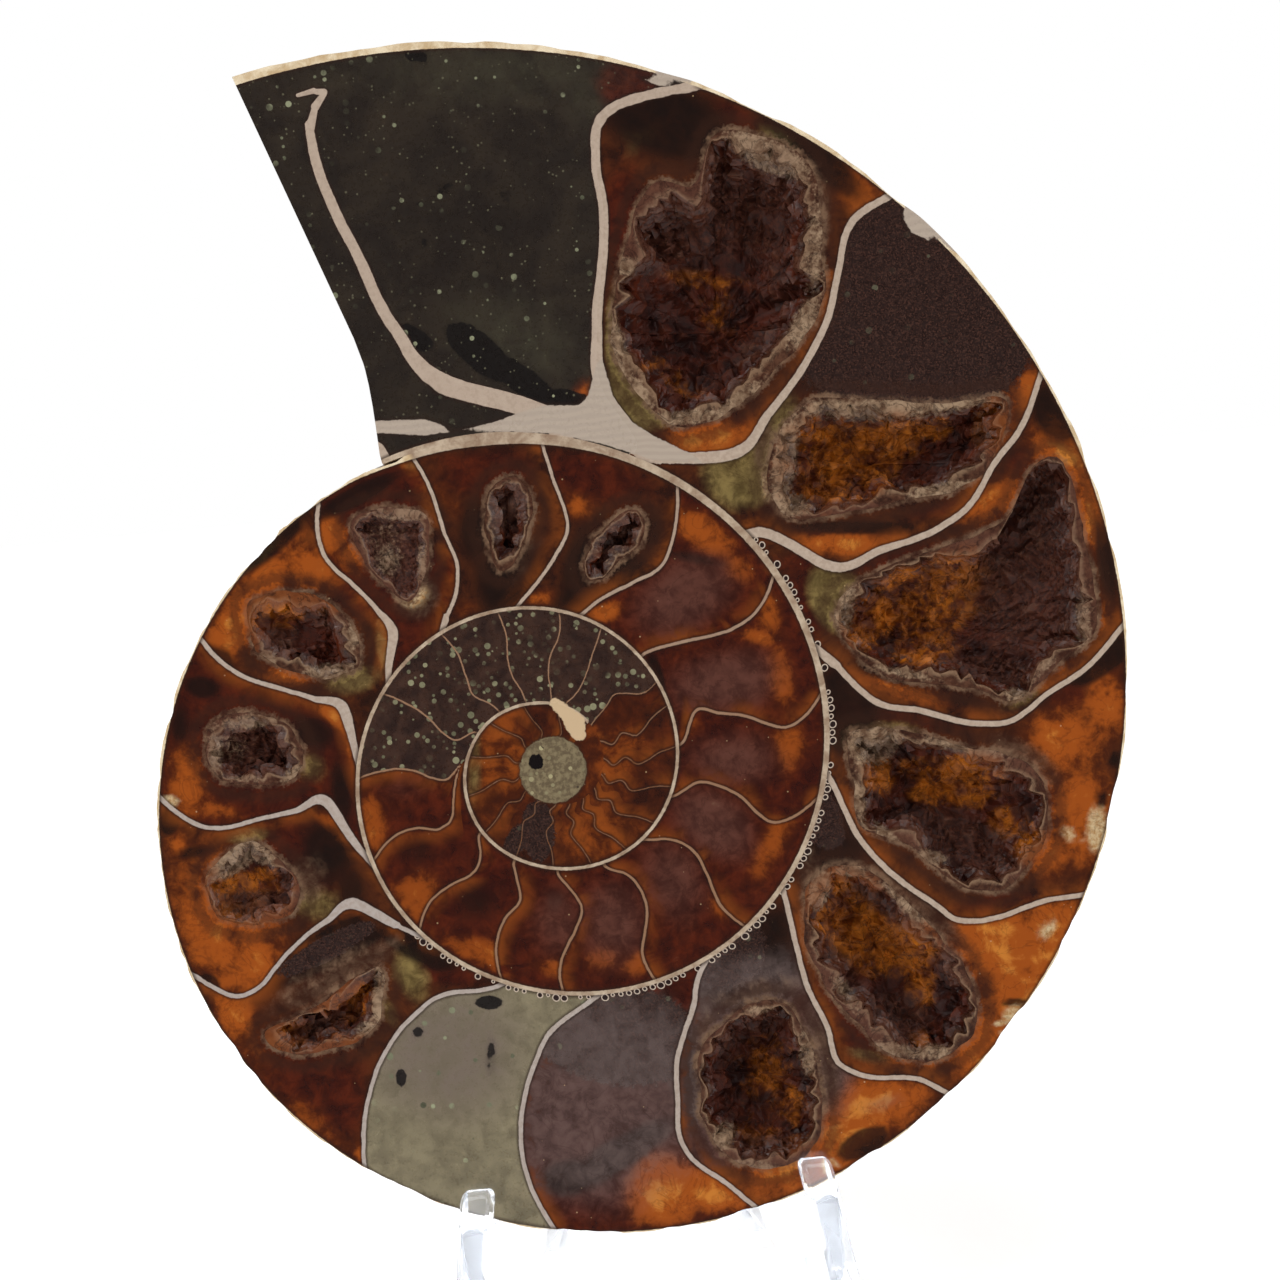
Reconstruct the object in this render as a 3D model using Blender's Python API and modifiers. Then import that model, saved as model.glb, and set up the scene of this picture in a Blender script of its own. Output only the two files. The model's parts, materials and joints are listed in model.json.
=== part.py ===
"""Polished half of an ammonite, standing on a small clear easel.

Units are metres, +Z is up, and the easel's feet stand on Z = 0.
The shell is first built flat in its own frame: X to its right, Z up its sawn
face, Y into the stone, with the coiling centre at the origin. One empty then
rolls it, leans it back and sets it on the easel's ledges.
"""

import math
import random

import bmesh
import bpy
from mathutils import Matrix, Vector

MM = 0.001
TURN = 360.0
GAP = 0.3 * MM

# The whorl wall: its radius in millimetres at every 60 degrees of growth.
WALL_START = 90.0
WALL_STEP = 60.0
WALL_RADII = (6.7, 8.4, 9.5, 9.9, 11.4, 13.2, 16.1, 18.8, 20.7, 22.4, 25.5, 29.0, 33.2, 37.6,
              42.2, 46.4, 52.6, 62.0, 72.8, 81.5)
APERTURE = 1195.0            # growth angle where the shell ends
LAG_DEGREES = 4.4            # how far the inner end of the aperture edge trails
LAG_OUTER = 47.0 * MM        # the edge is radial outside this radius
LAG_INNER = 35.8 * MM
LAG_CURVE = 1.6

# The flank, as shares of the whorl's outer radius.
HALF_WIDTH = 0.2
UMBILICUS = 0.27
WIDEST = 0.22                # share of the flank from the umbilicus to its widest line
FLANK_POWER = 2.6
VENTER_POWER = 0.62
UMBILICUS_POWER = 0.8
FIRST_TURN_DEPTH = 0.6       # depth at the innermost seam, as a share of the half width
STATIONS = 60                # growth lines round the last whorl
RING_ANGLES = (0, 8, 20, 40, 75, 120, 170, 220, 270, 315)
INNERMOST = 2.2 * MM         # radius of the last ring, closed over the protoconch

# Pose on the easel.
LEAN = math.radians(12.0)
ROLL = math.radians(5.5)
LEDGE_HEIGHT = 18.0 * MM
SEAT_BELOW_CENTRE = 44.75 * MM
CENTRE_X = -9.1 * MM         # puts the shell's widest points level about X = 0

# The easel: two side plates, a front web with a crest and a rear tie bar.
PLATE = 3.0 * MM
FOOT_LENGTH = 54.0 * MM
HOOK_BACK_FROM_TOE = 5.2 * MM
HOOK_THICKNESS = 3.2 * MM
HOOK_RISE = 4.0 * MM
REST_DEPTH = 11.3 * MM
REST_RISE = 47.0 * MM
REST_THICKNESS = 4.0 * MM
ARCH_RISE = 5.0 * MM
ARM_SPACING = 36.4 * MM      # between the hooks' centres
TOE_IN = math.radians(12.0)
SPLAY = math.radians(7.0)
STAND_X = CENTRE_X + 5.2 * MM
WEB_TOP = 11.0 * MM
WEB_CREST = 1.6 * MM
CREST_WIDTH = 4.2 * MM
BAR_RADIUS = 2.0 * MM
BAR_HEIGHT = 12.0 * MM
BAR_FROM_HEEL = 8.0 * MM
HEEL_HEIGHT = 3.0 * MM
HEEL_PAD = 9.0 * MM          # flat length under the heel, then under the toe
TOE_PAD = 8.0 * MM
ARCH_RUN = 4.0 * MM          # length over which the arch rises from each pad
SEAT_GAP = 1.5 * GAP
EASE = 0.35 * MM             # bevel on the plates' edges

# Open hollows in the chambers: depth and crust in millimetres, then the mouth.
HOLLOWS = {
    "chamber_1": (10.0, 2.0, ((17, 64.5), (25.5, 61), (27, 51), (26.5, 45.5), (21, 39), (16, 35.3),
                              (11.5, 34.8), (6.3, 41), (6, 48), (9.3, 58.7), (13.8, 59))),
    "chamber_2": (8.5, 1.8, ((27.5, 37.5), (39, 37), (45, 37.5), (45, 33.5), (42, 29), (34.5, 27),
                             (25, 25.3), (22, 27), (21.5, 31), (23.5, 35.5))),
    "chamber_3": (8.5, 1.9, ((28.5, 17.2), (35, 21.2), (41, 23), (45.4, 25.4), (48.2, 30.6), (51, 31),
                             (53, 25), (54.5, 14.5), (50.8, 11), (46.7, 7), (41.5, 8.3), (34, 9.2),
                             (29.5, 12.5))),
    "chamber_4": (8.0, 1.7, ((29.7, 3.7), (34.8, 4), (41, 2.5), (47, 1), (49.5, -3), (48.5, -8.5),
                             (45, -12), (40.5, -11.5), (36, -8), (31, -5.5), (30, -1))),
    "chamber_5": (8.0, 1.7, ((25.8, -11), (29.8, -9.5), (33.5, -11.5), (40.5, -18.8), (42.5, -24),
                             (40.5, -28.3), (34.5, -29), (29, -24), (25.7, -19), (25, -15))),
    "chamber_6": (7.5, 1.4, ((19, -24), (22.8, -23.5), (25.5, -27), (27, -34), (26, -38),
                             (22, -40.3), (17, -38.5), (14.8, -34.5), (14.6, -29), (16, -26.5))),
    "chamber_7": (4.6, 1.2, ((-29, -26.3), (-24.5, -24), (-20, -20.8), (-17.5, -20), (-17.3, -23),
                             (-18.5, -26.5), (-24, -28.6), (-28, -28))),
    "chamber_8": (3.5, 1.0, ((-35, -10.5), (-31.5, -7.5), (-29, -8), (-26, -11), (-26.5, -14.5),
                             (-31, -15.5), (-34.2, -14.5))),
    "chamber_9": (4.2, 1.2, ((-35, 3.5), (-33.5, 5.5), (-29.5, 5.6), (-26.5, 4), (-25.3, 1),
                             (-27, -1.2), (-30.5, -1.3), (-34.3, -0.5))),
    "chamber_10": (4.2, 1.2, ((-31, 16), (-29, 17.7), (-24, 17.6), (-20.5, 14.5), (-19.6, 11),
                              (-22.5, 9.2), (-26, 9.8), (-30, 12))),
    "chamber_11": (2.5, 1.0, ((-20.5, 25), (-18, 26.3), (-14.5, 26.4), (-12.8, 25), (-12.8, 20.5),
                              (-14.5, 17), (-17, 18.5), (-19.6, 21.7))),
    "chamber_12": (4.2, 0.8, ((-6.5, 28.3), (-4.5, 29.4), (-2.7, 28.2), (-2.5, 25.2), (-3.7, 21.7),
                              (-5.2, 20), (-6.5, 21.7), (-7, 25.2))),
    "chamber_13": (3.4, 0.6, ((7.4, 26.1), (8.8, 25.3), (8.6, 22.9), (6.4, 20.9), (4.5, 19.1),
                              (3, 19.4), (3.1, 21.8), (4.9, 24.3))),
}
HOLLOW_LEVELS = (0.0, 0.33, 0.62, 0.86)    # quarter turns from the mouth to the floor
HOLLOW_TAPER = 0.7
WALL_LEFT = 1.5 * MM         # least stone between a hollow's floor and the shell's back
MOUTH_CLEAR = 1.0 * MM
CRUST_SINK = 0.15 * MM
CRUST_GAP = 1.3 * GAP        # between a crust and the wall of its hollow
FLOOR_GAP = 1.6 * GAP        # the same under the crust's floor
FLOOR_SHARE = 0.6            # the floor's crust against the wall's
CRYSTAL_JITTER = 0.22        # how far a crystal's corner strays, as a share of the crust


def collection(name, helper=False):
    """Adds a collection to the scene; a helper's objects are left out of the part."""
    made = bpy.data.collections.new(name)
    made.hide_render = helper
    bpy.context.scene.collection.children.link(made)
    return made


def material(name, colour, roughness, transmission=0.0):
    made = bpy.data.materials.new(name)
    made.use_nodes = True
    shader = made.node_tree.nodes["Principled BSDF"]
    shader.inputs["Base Color"].default_value = (*colour, 1.0)
    shader.inputs["Roughness"].default_value = roughness
    shader.inputs["Metallic"].default_value = 0.0
    shader.inputs["Transmission Weight"].default_value = transmission
    return made


def add_mesh(name, bm, home, finish=None, parent=None):
    """Turns a bmesh into a named object with its faces pointing out."""
    bmesh.ops.recalc_face_normals(bm, faces=bm.faces)
    mesh = bpy.data.meshes.new(name)
    bm.to_mesh(mesh)
    bm.free()
    made = bpy.data.objects.new(name, mesh)
    home.objects.link(made)
    if finish:
        mesh.materials.append(finish)
    if parent:
        made.parent = parent
    return made


def wall_radius(growth):
    """Radius of the whorl wall, by a Catmull-Rom curve through the logs of WALL_RADII."""
    place = (growth - WALL_START) / WALL_STEP
    last = len(WALL_RADII) - 1
    index = min(max(int(math.floor(place)), 0), last - 1)
    logs = [math.log(WALL_RADII[min(max(index + shift, 0), last)]) for shift in (-1, 0, 1, 2)]
    t = place - index
    if t < 0.0:
        return MM * math.exp(logs[1] + t * (logs[2] - logs[1]))
    a, b, c, d = logs
    curve = b + 0.5 * t * (c - a + t * (2 * a - 5 * b + 4 * c - d + t * (3 * (b - c) + d - a)))
    return MM * math.exp(curve)


def flank_depth(growth, radius):
    """Depth of the shell's back behind the sawn face, on the outermost whorl that covers it."""
    outer = wall_radius(growth)
    seam = UMBILICUS * outer
    if outer < 2 * INNERMOST:
        return HALF_WIDTH * outer
    if radius < seam:
        return flank_depth(growth - TURN, radius)
    share = min((radius - seam) / (outer - seam), 1.0)
    full = HALF_WIDTH * outer
    if share >= WIDEST:
        fall = ((share - WIDEST) / (1.0 - WIDEST)) ** FLANK_POWER
        return full * max(1.0 - fall, 0.0) ** VENTER_POWER
    inner = flank_depth(growth - TURN, seam) if seam > INNERMOST else FIRST_TURN_DEPTH * full
    rise = math.sin(0.5 * math.pi * (share / WIDEST) ** UMBILICUS_POWER)
    return inner + (full - inner) * rise


def on_face(growth, radius):
    """The point (x, z) of the sawn face at a growth angle and radius, with the edge's lag."""
    lag = (LAG_OUTER - radius) / (LAG_OUTER - LAG_INNER)
    lag = LAG_DEGREES * min(max(lag, 0.0), 1.0) ** LAG_CURVE
    angle = math.radians(growth + lag)
    return radius * math.cos(angle), radius * math.sin(angle)


def ring_lags():
    """How far back along the spiral each ring of the loft lies, in to the protoconch."""
    lags = []
    turn = 0.0
    while wall_radius(APERTURE - turn) > INNERMOST:
        lags += [turn + angle for angle in RING_ANGLES]
        turn += TURN
    return [lag for lag in lags if wall_radius(APERTURE - lag) > INNERMOST]


def build_shell(home, finish, parent):
    """Lofts the half shell: rings that follow the spiral, so each turn meets the next."""
    bm = bmesh.new()
    start = APERTURE - TURN
    growths = [start + TURN * step / STATIONS for step in range(STATIONS + 1)]
    rings = ring_lags()
    turn_rings = len(RING_ANGLES)

    def back_point(growth, ring):
        radius = wall_radius(growth - ring)
        x, z = on_face(growth, radius)
        depth = 0.0 if ring == 0 else flank_depth(growth, radius)
        return bm.verts.new((x, depth, z))

    kept = len(rings) - turn_rings
    grid = []
    for index, growth in enumerate(growths):
        count = len(rings) if index == STATIONS else kept + round(turn_rings * index / STATIONS)
        grid.append([back_point(growth, ring) for ring in rings[:count]])
    for line, following in zip(grid, grid[1:]):
        shared = min(len(line), len(following))
        for ring in range(shared - 1):
            bm.faces.new((line[ring], line[ring + 1], following[ring + 1], following[ring]))
        for ring in range(shared, len(following)):
            bm.faces.new((line[-1], following[ring], following[ring - 1]))
    protoconch = [line[-1] for line in grid[:-1]]
    bm.faces.new(protoconch)

    edge = [grid[-1][0]]
    for ring in range(1, turn_rings):
        x, z = on_face(APERTURE, wall_radius(APERTURE - rings[ring]))
        edge.append(bm.verts.new((x, 0.0, z)))
    edge.append(grid[0][0])
    high = grid[-1]
    low = edge + grid[0][1:]
    for ring in range(len(low) - 1):
        corners = [low[ring], low[ring + 1], high[ring + 1], high[ring]]
        unique = list(dict.fromkeys(corners))
        bm.faces.new(unique)
    rim = [line[0] for line in grid[:-1]]
    bm.faces.new(rim + edge[:-1])
    bmesh.ops.remove_doubles(bm, verts=bm.verts, dist=0.00001)
    bmesh.ops.dissolve_degenerate(bm, edges=bm.edges, dist=0.00001)
    bmesh.ops.triangulate(bm, faces=bm.faces)
    return add_mesh("fossil", bm, home, finish, parent)


def drawn_in(corners, inset):
    """A closed outline moved inwards by the same width all round."""
    turning = sum(corners[i - 1].x * p.y - corners[i - 1].y * p.x for i, p in enumerate(corners))
    inward = inset if turning > 0 else -inset
    moved = []
    for index, corner in enumerate(corners):
        before = (corner - corners[index - 1]).normalized()
        after = (corners[(index + 1) % len(corners)] - corner).normalized()
        across = Vector((-before.y - after.y, before.x + after.x)).normalized()
        reach = max(across.dot(Vector((-after.y, after.x))), 0.5)
        moved.append(corner + across * inward / reach)
    return moved


def stone_behind(place):
    """Depth of the stone behind a point of the sawn face."""
    start = APERTURE - TURN
    growth = start + (math.degrees(math.atan2(place.y, place.x)) - start) % TURN
    return flank_depth(growth, place.length)


def level(bm, corners, centre, shrink, depth, left, loose=0.0, jitter=None):
    """One ring of a hollow, drawn towards the centre, with enough stone left behind it."""
    ring = []
    for corner in corners:
        place = centre + (corner - centre) * shrink
        point = Vector((place.x, min(depth, stone_behind(place) - left), place.y))
        if loose:
            point += Vector([jitter.uniform(-loose, loose) for _ in range(3)])
        ring.append(bm.verts.new(point))
    return ring


def bowl(bm, corners, centre, depth, left, loose=0.0, jitter=None):
    """Rings that narrow like a bowl, closed by one point on its floor."""
    rings = []
    for share in HOLLOW_LEVELS:
        turn = 0.5 * math.pi * share
        stray = loose if share else 0.0
        shrink = math.cos(turn) ** HOLLOW_TAPER
        rings.append(level(bm, corners, centre, shrink, depth * math.sin(turn), left, stray, jitter))
    for upper, lower in zip(rings, rings[1:]):
        skin(bm, upper, lower)
    floor = level(bm, [centre], centre, 1.0, depth, left)[0]
    last = rings[-1]
    for corner, following in zip(last, last[1:] + last[:1]):
        bm.faces.new((corner, following, floor))
    return rings[0]


def skin(bm, ring, other):
    """Quads between two rings of the same number of corners."""
    for index, corner in enumerate(ring):
        following = (index + 1) % len(ring)
        bm.faces.new((corner, ring[following], other[following], other[index]))


def build_cutter(name, depth, corners, centre, home, parent):
    """The bowl that is cut from the stone, carried out past the sawn face."""
    bm = bmesh.new()
    rim = bowl(bm, corners, centre, depth, WALL_LEFT)
    lip = level(bm, corners, centre, 1.0, -MOUTH_CLEAR, 0.0)
    skin(bm, rim, lip)
    bm.faces.new(lip)
    made = add_mesh(name + "_cutter", bm, home, parent=parent)
    made.hide_render = True
    made.display_type = "WIRE"
    return made


def build_crust(name, depth, thickness, corners, centre, home, finish, parent, seed):
    """A lining of crystals: a smooth outer bowl, and an inner one broken into flat faces."""
    bm = bmesh.new()
    jitter = random.Random(seed)
    front = FLOOR_GAP + FLOOR_SHARE * thickness
    loose = CRYSTAL_JITTER * thickness
    outer = bowl(bm, drawn_in(corners, CRUST_GAP), centre, depth - FLOOR_GAP, WALL_LEFT + FLOOR_GAP)
    inner = bowl(bm, drawn_in(corners, thickness), centre, depth - front, WALL_LEFT + front, loose, jitter)
    skin(bm, outer, inner)
    for corner in outer + inner:
        corner.co.y = CRUST_SINK
    bmesh.ops.triangulate(bm, faces=bm.faces)
    return add_mesh(name + "_crystals", bm, home, finish, parent)


def cut_hollows(shell, home, helpers, finish, parent):
    """Sinks every hollow into the shell, and lines each with its crust."""
    for seed, (name, (depth, thickness, points)) in enumerate(HOLLOWS.items()):
        corners = [Vector(point) * MM for point in points]
        centre = sum(corners, Vector((0.0, 0.0))) / len(corners)
        cut = shell.modifiers.new(name, "BOOLEAN")
        cut.operation = "DIFFERENCE"
        cut.solver = "EXACT"
        cut.object = build_cutter(name, depth * MM, corners, centre, helpers, parent)
        build_crust(name, depth * MM, thickness * MM, corners, centre, home, finish, parent, seed)


def arc(centre, radius, start, end, steps):
    """Points on an arc from one angle to another, in degrees."""
    angles = [math.radians(start + (end - start) * step / steps) for step in range(steps + 1)]
    return [centre + radius * Vector((math.cos(angle), math.sin(angle))) for angle in angles]


def arm_outline():
    """Side view (y, z) of a side plate: foot, hook, ledge, leaning rest and heel."""
    into = Vector((math.cos(LEAN), -math.sin(LEAN)))
    up = Vector((math.sin(LEAN), math.cos(LEAN)))
    toe = -0.5 * FOOT_LENGTH
    heel = 0.5 * FOOT_LENGTH
    seat = Vector((toe + HOOK_BACK_FROM_TOE, LEDGE_HEIGHT)) - into * SEAT_GAP
    hook_round = 0.45 * HOOK_THICKNESS
    hook_top = seat + up * (HOOK_RISE - hook_round) - into * hook_round
    hook_front = hook_top - into * (HOOK_THICKNESS - 2 * hook_round)
    lean_angle = math.degrees(LEAN)
    rest_foot = seat + into * REST_DEPTH
    rest_round = 0.5 * REST_THICKNESS
    rest_top = rest_foot + up * (REST_RISE - rest_round) + into * rest_round
    points = [Vector((toe, 0.0)), seat - into * HOOK_THICKNESS]
    points += arc(hook_front, hook_round, 180 - lean_angle, 90 - lean_angle, 3)
    points += arc(hook_top, hook_round, 90 - lean_angle, -lean_angle, 3)
    points += [seat, rest_foot]
    points += arc(rest_top, rest_round, 180 - lean_angle, 20, 4)
    points += [Vector((heel, HEEL_HEIGHT)), Vector((heel, 0.0)), Vector((heel - HEEL_PAD, 0.0))]
    points += [Vector((heel - HEEL_PAD - ARCH_RUN, ARCH_RISE))]
    points += [Vector((toe + TOE_PAD + ARCH_RUN, ARCH_RISE)), Vector((toe + TOE_PAD, 0.0))]
    return points


def flat_plate(name, points, thickness, home):
    """A plate cut to an outline: a filled curve, made a mesh and welded."""
    curve = bpy.data.curves.new(name, "CURVE")
    curve.dimensions = "2D"
    curve.fill_mode = "BOTH"
    curve.extrude = 0.5 * thickness
    spline = curve.splines.new("POLY")
    spline.points.add(len(points) - 1)
    for knot, point in zip(spline.points, points):
        knot.co = (point.x, point.y, 0.0, 1.0)
    spline.use_cyclic_u = True
    guide = bpy.data.objects.new(name, curve)
    home.objects.link(guide)
    bpy.context.view_layer.update()
    graph = bpy.context.evaluated_depsgraph_get()
    mesh = bpy.data.meshes.new_from_object(guide.evaluated_get(graph))
    bpy.data.objects.remove(guide)
    bm = bmesh.new()
    bm.from_mesh(mesh)
    bpy.data.meshes.remove(mesh)
    bmesh.ops.remove_doubles(bm, verts=bm.verts, dist=0.000001)
    bmesh.ops.dissolve_limit(bm, angle_limit=0.001, verts=bm.verts, edges=bm.edges)
    return bm


def ease_edges(made):
    bevel = made.modifiers.new("eased_edges", "BEVEL")
    bevel.width = EASE
    bevel.segments = 1
    bevel.limit_method = "ANGLE"
    bevel.angle_limit = math.radians(35.0)


def build_arm(name, side, home, finish):
    """A side plate, toed in towards the back and splayed towards the floor."""
    bm = flat_plate(name, arm_outline(), PLATE, home)
    toe = -0.5 * FOOT_LENGTH
    stand_up = Matrix(((0, 0, 1, 0), (1, 0, 0, 0), (0, 1, 0, 0), (0, 0, 0, 1)))
    bm.transform(stand_up)
    slant = Matrix.Identity(4)
    slant[0][1] = -side * math.tan(TOE_IN)
    slant[0][2] = -side * math.tan(SPLAY)
    slant[0][3] = side * (0.5 * ARM_SPACING + math.tan(TOE_IN) * toe
                          + math.tan(SPLAY) * LEDGE_HEIGHT)
    bm.transform(slant)
    bm.transform(Matrix.Translation((STAND_X, 0.0, 0.0)))
    made = add_mesh(name, bm, home, finish)
    ease_edges(made)
    return made


def arm_face(side, y, z, outward):
    """X of a side plate's face: the outward or the inward one."""
    toe = -0.5 * FOOT_LENGTH
    middle = 0.5 * ARM_SPACING - math.tan(TOE_IN) * (y - toe) - math.tan(SPLAY) * (z - LEDGE_HEIGHT)
    return STAND_X + side * (middle + (0.5 if outward else -0.5) * PLATE)


def build_web(home, finish):
    """The front web: an upright plate between the arms, with a rounded crest."""
    toe = -0.5 * FOOT_LENGTH
    y = toe + HOOK_BACK_FROM_TOE + 1.2 * PLATE
    near = y - 0.5 * PLATE
    far = y + 0.5 * PLATE
    crest = [Vector((STAND_X + 0.5 * CREST_WIDTH * math.cos(math.radians(angle)),
                     WEB_TOP + WEB_CREST * math.sin(math.radians(angle))))
             for angle in range(0, 181, 30)]
    bm = bmesh.new()
    rings = []
    for depth in (near, far):
        ring = [(arm_face(-1, depth, 0.0, False) + GAP, 0.0)]
        ring += [(arm_face(1, depth, 0.0, False) - GAP, 0.0)]
        ring += [(arm_face(1, depth, WEB_TOP, False) - GAP, WEB_TOP)]
        ring += [(point.x, point.y) for point in crest]
        ring += [(arm_face(-1, depth, WEB_TOP, False) + GAP, WEB_TOP)]
        rings.append([bm.verts.new((x, depth, z)) for x, z in ring])
    skin(bm, *rings)
    for ring in rings:
        bm.faces.new(ring)
    made = add_mesh("easel_front_web", bm, home, finish)
    ease_edges(made)
    return made


def build_bar(home, finish):
    """The rear tie bar: a round rod between the arms, near their heels."""
    y = 0.5 * FOOT_LENGTH - BAR_FROM_HEEL
    inset = GAP + BAR_RADIUS * (math.tan(TOE_IN) + math.tan(SPLAY))
    left = arm_face(-1, y, BAR_HEIGHT, False) + inset
    right = arm_face(1, y, BAR_HEIGHT, False) - inset
    bm = bmesh.new()
    across = Matrix.Rotation(0.5 * math.pi, 4, "Y")
    place = Matrix.Translation((0.5 * (left + right), y, BAR_HEIGHT)) @ across
    bmesh.ops.create_cone(bm, cap_ends=True, segments=20, radius1=BAR_RADIUS, radius2=BAR_RADIUS,
                          depth=right - left, matrix=place)
    return add_mesh("easel_tie_bar", bm, home, finish)


for old in list(bpy.data.objects):
    bpy.data.objects.remove(old)

part = collection("ammonite_fossil_half")
cutters = collection("cutters", helper=True)
stone = material("polished_fossil", (0.16, 0.055, 0.022), 0.16)
crystal = material("calcite_crystals", (0.36, 0.29, 0.24), 0.3)
clear = material("clear_acrylic", (0.95, 0.97, 1.0), 0.04, transmission=1.0)

pose = bpy.data.objects.new("fossil_pose", None)
part.objects.link(pose)
seat_y = -0.5 * FOOT_LENGTH + HOOK_BACK_FROM_TOE
centre_y = seat_y + SEAT_BELOW_CENTRE * math.sin(LEAN)
centre_z = LEDGE_HEIGHT + GAP + SEAT_BELOW_CENTRE * math.cos(LEAN)
pose.matrix_world = (Matrix.Translation((CENTRE_X, centre_y, centre_z))
                     @ Matrix.Rotation(-LEAN, 4, "X") @ Matrix.Rotation(ROLL, 4, "Y"))

fossil = build_shell(part, stone, pose)
cut_hollows(fossil, part, cutters, crystal, pose)
build_arm("easel_left_arm", -1, part, clear)
build_arm("easel_right_arm", 1, part, clear)
build_web(part, clear)
build_bar(part, clear)
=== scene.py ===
# %% [markdown]
# # Half an ammonite on a clear easel
# This is a fossil shell, sawn through its coil and polished. Its chambers filled with calcite, mud
# or nothing but crystals, and their walls (the septa) stay as cream lines. We dress the packed
# solids with detailed pieces: the polished face, the shell's back, a crystal lining for every
# open hollow, and the easel's clear plastic.

import json
import math
import random

import bmesh
import bpy
import numpy as np
from mathutils import Matrix, Vector, noise

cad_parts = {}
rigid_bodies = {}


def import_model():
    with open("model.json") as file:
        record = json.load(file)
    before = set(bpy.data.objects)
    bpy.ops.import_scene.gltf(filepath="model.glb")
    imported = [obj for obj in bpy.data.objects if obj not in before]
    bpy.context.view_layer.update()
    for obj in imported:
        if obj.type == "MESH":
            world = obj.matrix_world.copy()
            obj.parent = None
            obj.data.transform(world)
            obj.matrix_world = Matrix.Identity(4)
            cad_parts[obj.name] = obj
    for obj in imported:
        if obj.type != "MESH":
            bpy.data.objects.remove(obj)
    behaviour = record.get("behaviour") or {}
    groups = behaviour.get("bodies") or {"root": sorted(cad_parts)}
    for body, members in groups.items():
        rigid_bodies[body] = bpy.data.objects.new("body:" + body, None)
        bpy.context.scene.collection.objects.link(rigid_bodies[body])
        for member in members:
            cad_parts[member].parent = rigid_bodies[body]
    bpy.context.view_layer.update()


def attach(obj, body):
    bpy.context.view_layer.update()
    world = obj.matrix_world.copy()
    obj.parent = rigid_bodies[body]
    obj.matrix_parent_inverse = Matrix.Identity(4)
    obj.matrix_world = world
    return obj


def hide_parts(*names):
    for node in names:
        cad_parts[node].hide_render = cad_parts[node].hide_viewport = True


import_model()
bpy.ops.object.select_all(action="DESELECT")

# %% [markdown]
# ## Where the fossil stands
# The shell is easiest to shape flat: X to its right, Z up its sawn face, Y into the stone, with
# the centre of coiling at the origin, in millimetres. One matrix then rolls it, leans it back on
# the easel and turns millimetres into metres.

# %% the fossil's place
MM = 0.001
LEAN = math.radians(12.0)
ROLL = math.radians(5.5)
SEAT = Vector((-9.1, -21.8, 18.3))       # under the centre, on the easel's ledges
SEAT_TO_CENTRE = 44.75
centre = SEAT + SEAT_TO_CENTRE * Vector((0.0, math.sin(LEAN), math.cos(LEAN)))
TURNED = Matrix.Rotation(-LEAN, 4, "X") @ Matrix.Rotation(ROLL, 4, "Y")
PLACE = Matrix.Translation(centre * MM) @ TURNED @ Matrix.Scale(MM, 4)
print("coiling centre, mm:", [round(c, 2) for c in centre])

# %% [markdown]
# ## Camera and light
# A polished face mirrors whatever stands in front of it. So the camera looks at it squarely and
# the soft lights stand well to its sides: the face shows its own colours and no glare.

# %% camera
VIEW_WIDTH = 128.9                        # millimetres of the face across the image
VIEW_DISTANCE = 430.0
LOOK_AT = Vector((8.56, 0.0, 13.09))

camera = bpy.data.objects.new("camera", bpy.data.cameras.new("camera"))
bpy.context.scene.collection.objects.link(camera)
bpy.context.scene.camera = camera
camera.data.sensor_width = 36.0
camera.data.lens = 36.0 * VIEW_DISTANCE / VIEW_WIDTH
camera.data.clip_start = 0.01
camera.data.clip_end = 20.0
right, into, up = (TURNED.to_3x3() @ axis for axis in (Vector((1, 0, 0)), Vector((0, 1, 0)), Vector((0, 0, 1))))
camera_turn = Matrix((right, up, -into)).transposed()
camera.matrix_world = (Matrix.Translation(PLACE @ (LOOK_AT - Vector((0.0, VIEW_DISTANCE, 0.0))))
                       @ camera_turn.to_4x4())
bpy.context.scene.view_settings.view_transform = "Standard"
print("camera lens, mm:", round(camera.data.lens, 1))


# %% lights
def soft_light(name, place, aim, size, power):
    """A square studio light that looks from one point to another, in millimetres."""
    lamp = bpy.data.lights.new(name, "AREA")
    lamp.size = size * MM
    lamp.energy = power
    made = bpy.data.objects.new(name, lamp)
    bpy.context.scene.collection.objects.link(made)
    spot = Vector(place) * MM
    made.location = spot
    made.rotation_euler = (Vector(aim) * MM - spot).to_track_quat("-Z", "Y").to_euler()
    return made


soft_light("left_light", (-620, -420, 420), (0, 0, 65), 420, 2.5)
soft_light("right_light", (640, -400, 360), (0, 0, 65), 420, 2.1)
soft_light("top_light", (0, -260, 760), (0, 0, 65), 420, 1.8)
soft_light("back_light", (-260, 620, 560), (0, 0, 65), 420, 2.6)

# %% a white surround that lights little
SURROUND_LIGHT = 0.1
world = bpy.data.worlds.new("studio")
bpy.context.scene.world = world
world.use_nodes = True
surround = world.node_tree
seen_straight = surround.nodes.new("ShaderNodeLightPath")
either = surround.nodes.new("ShaderNodeMath")
either.operation = "MAXIMUM"
either.use_clamp = True
surround.links.new(seen_straight.outputs["Is Camera Ray"], either.inputs[0])
surround.links.new(seen_straight.outputs["Transmission Depth"], either.inputs[1])
strength = surround.nodes.new("ShaderNodeMapRange")
strength.inputs["To Min"].default_value = SURROUND_LIGHT
surround.links.new(either.outputs[0], strength.inputs["Value"])
surround.links.new(strength.outputs[0], surround.nodes["Background"].inputs["Strength"])
surround.nodes["Background"].inputs["Color"].default_value = (1.0, 1.0, 1.0, 1.0)

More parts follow.
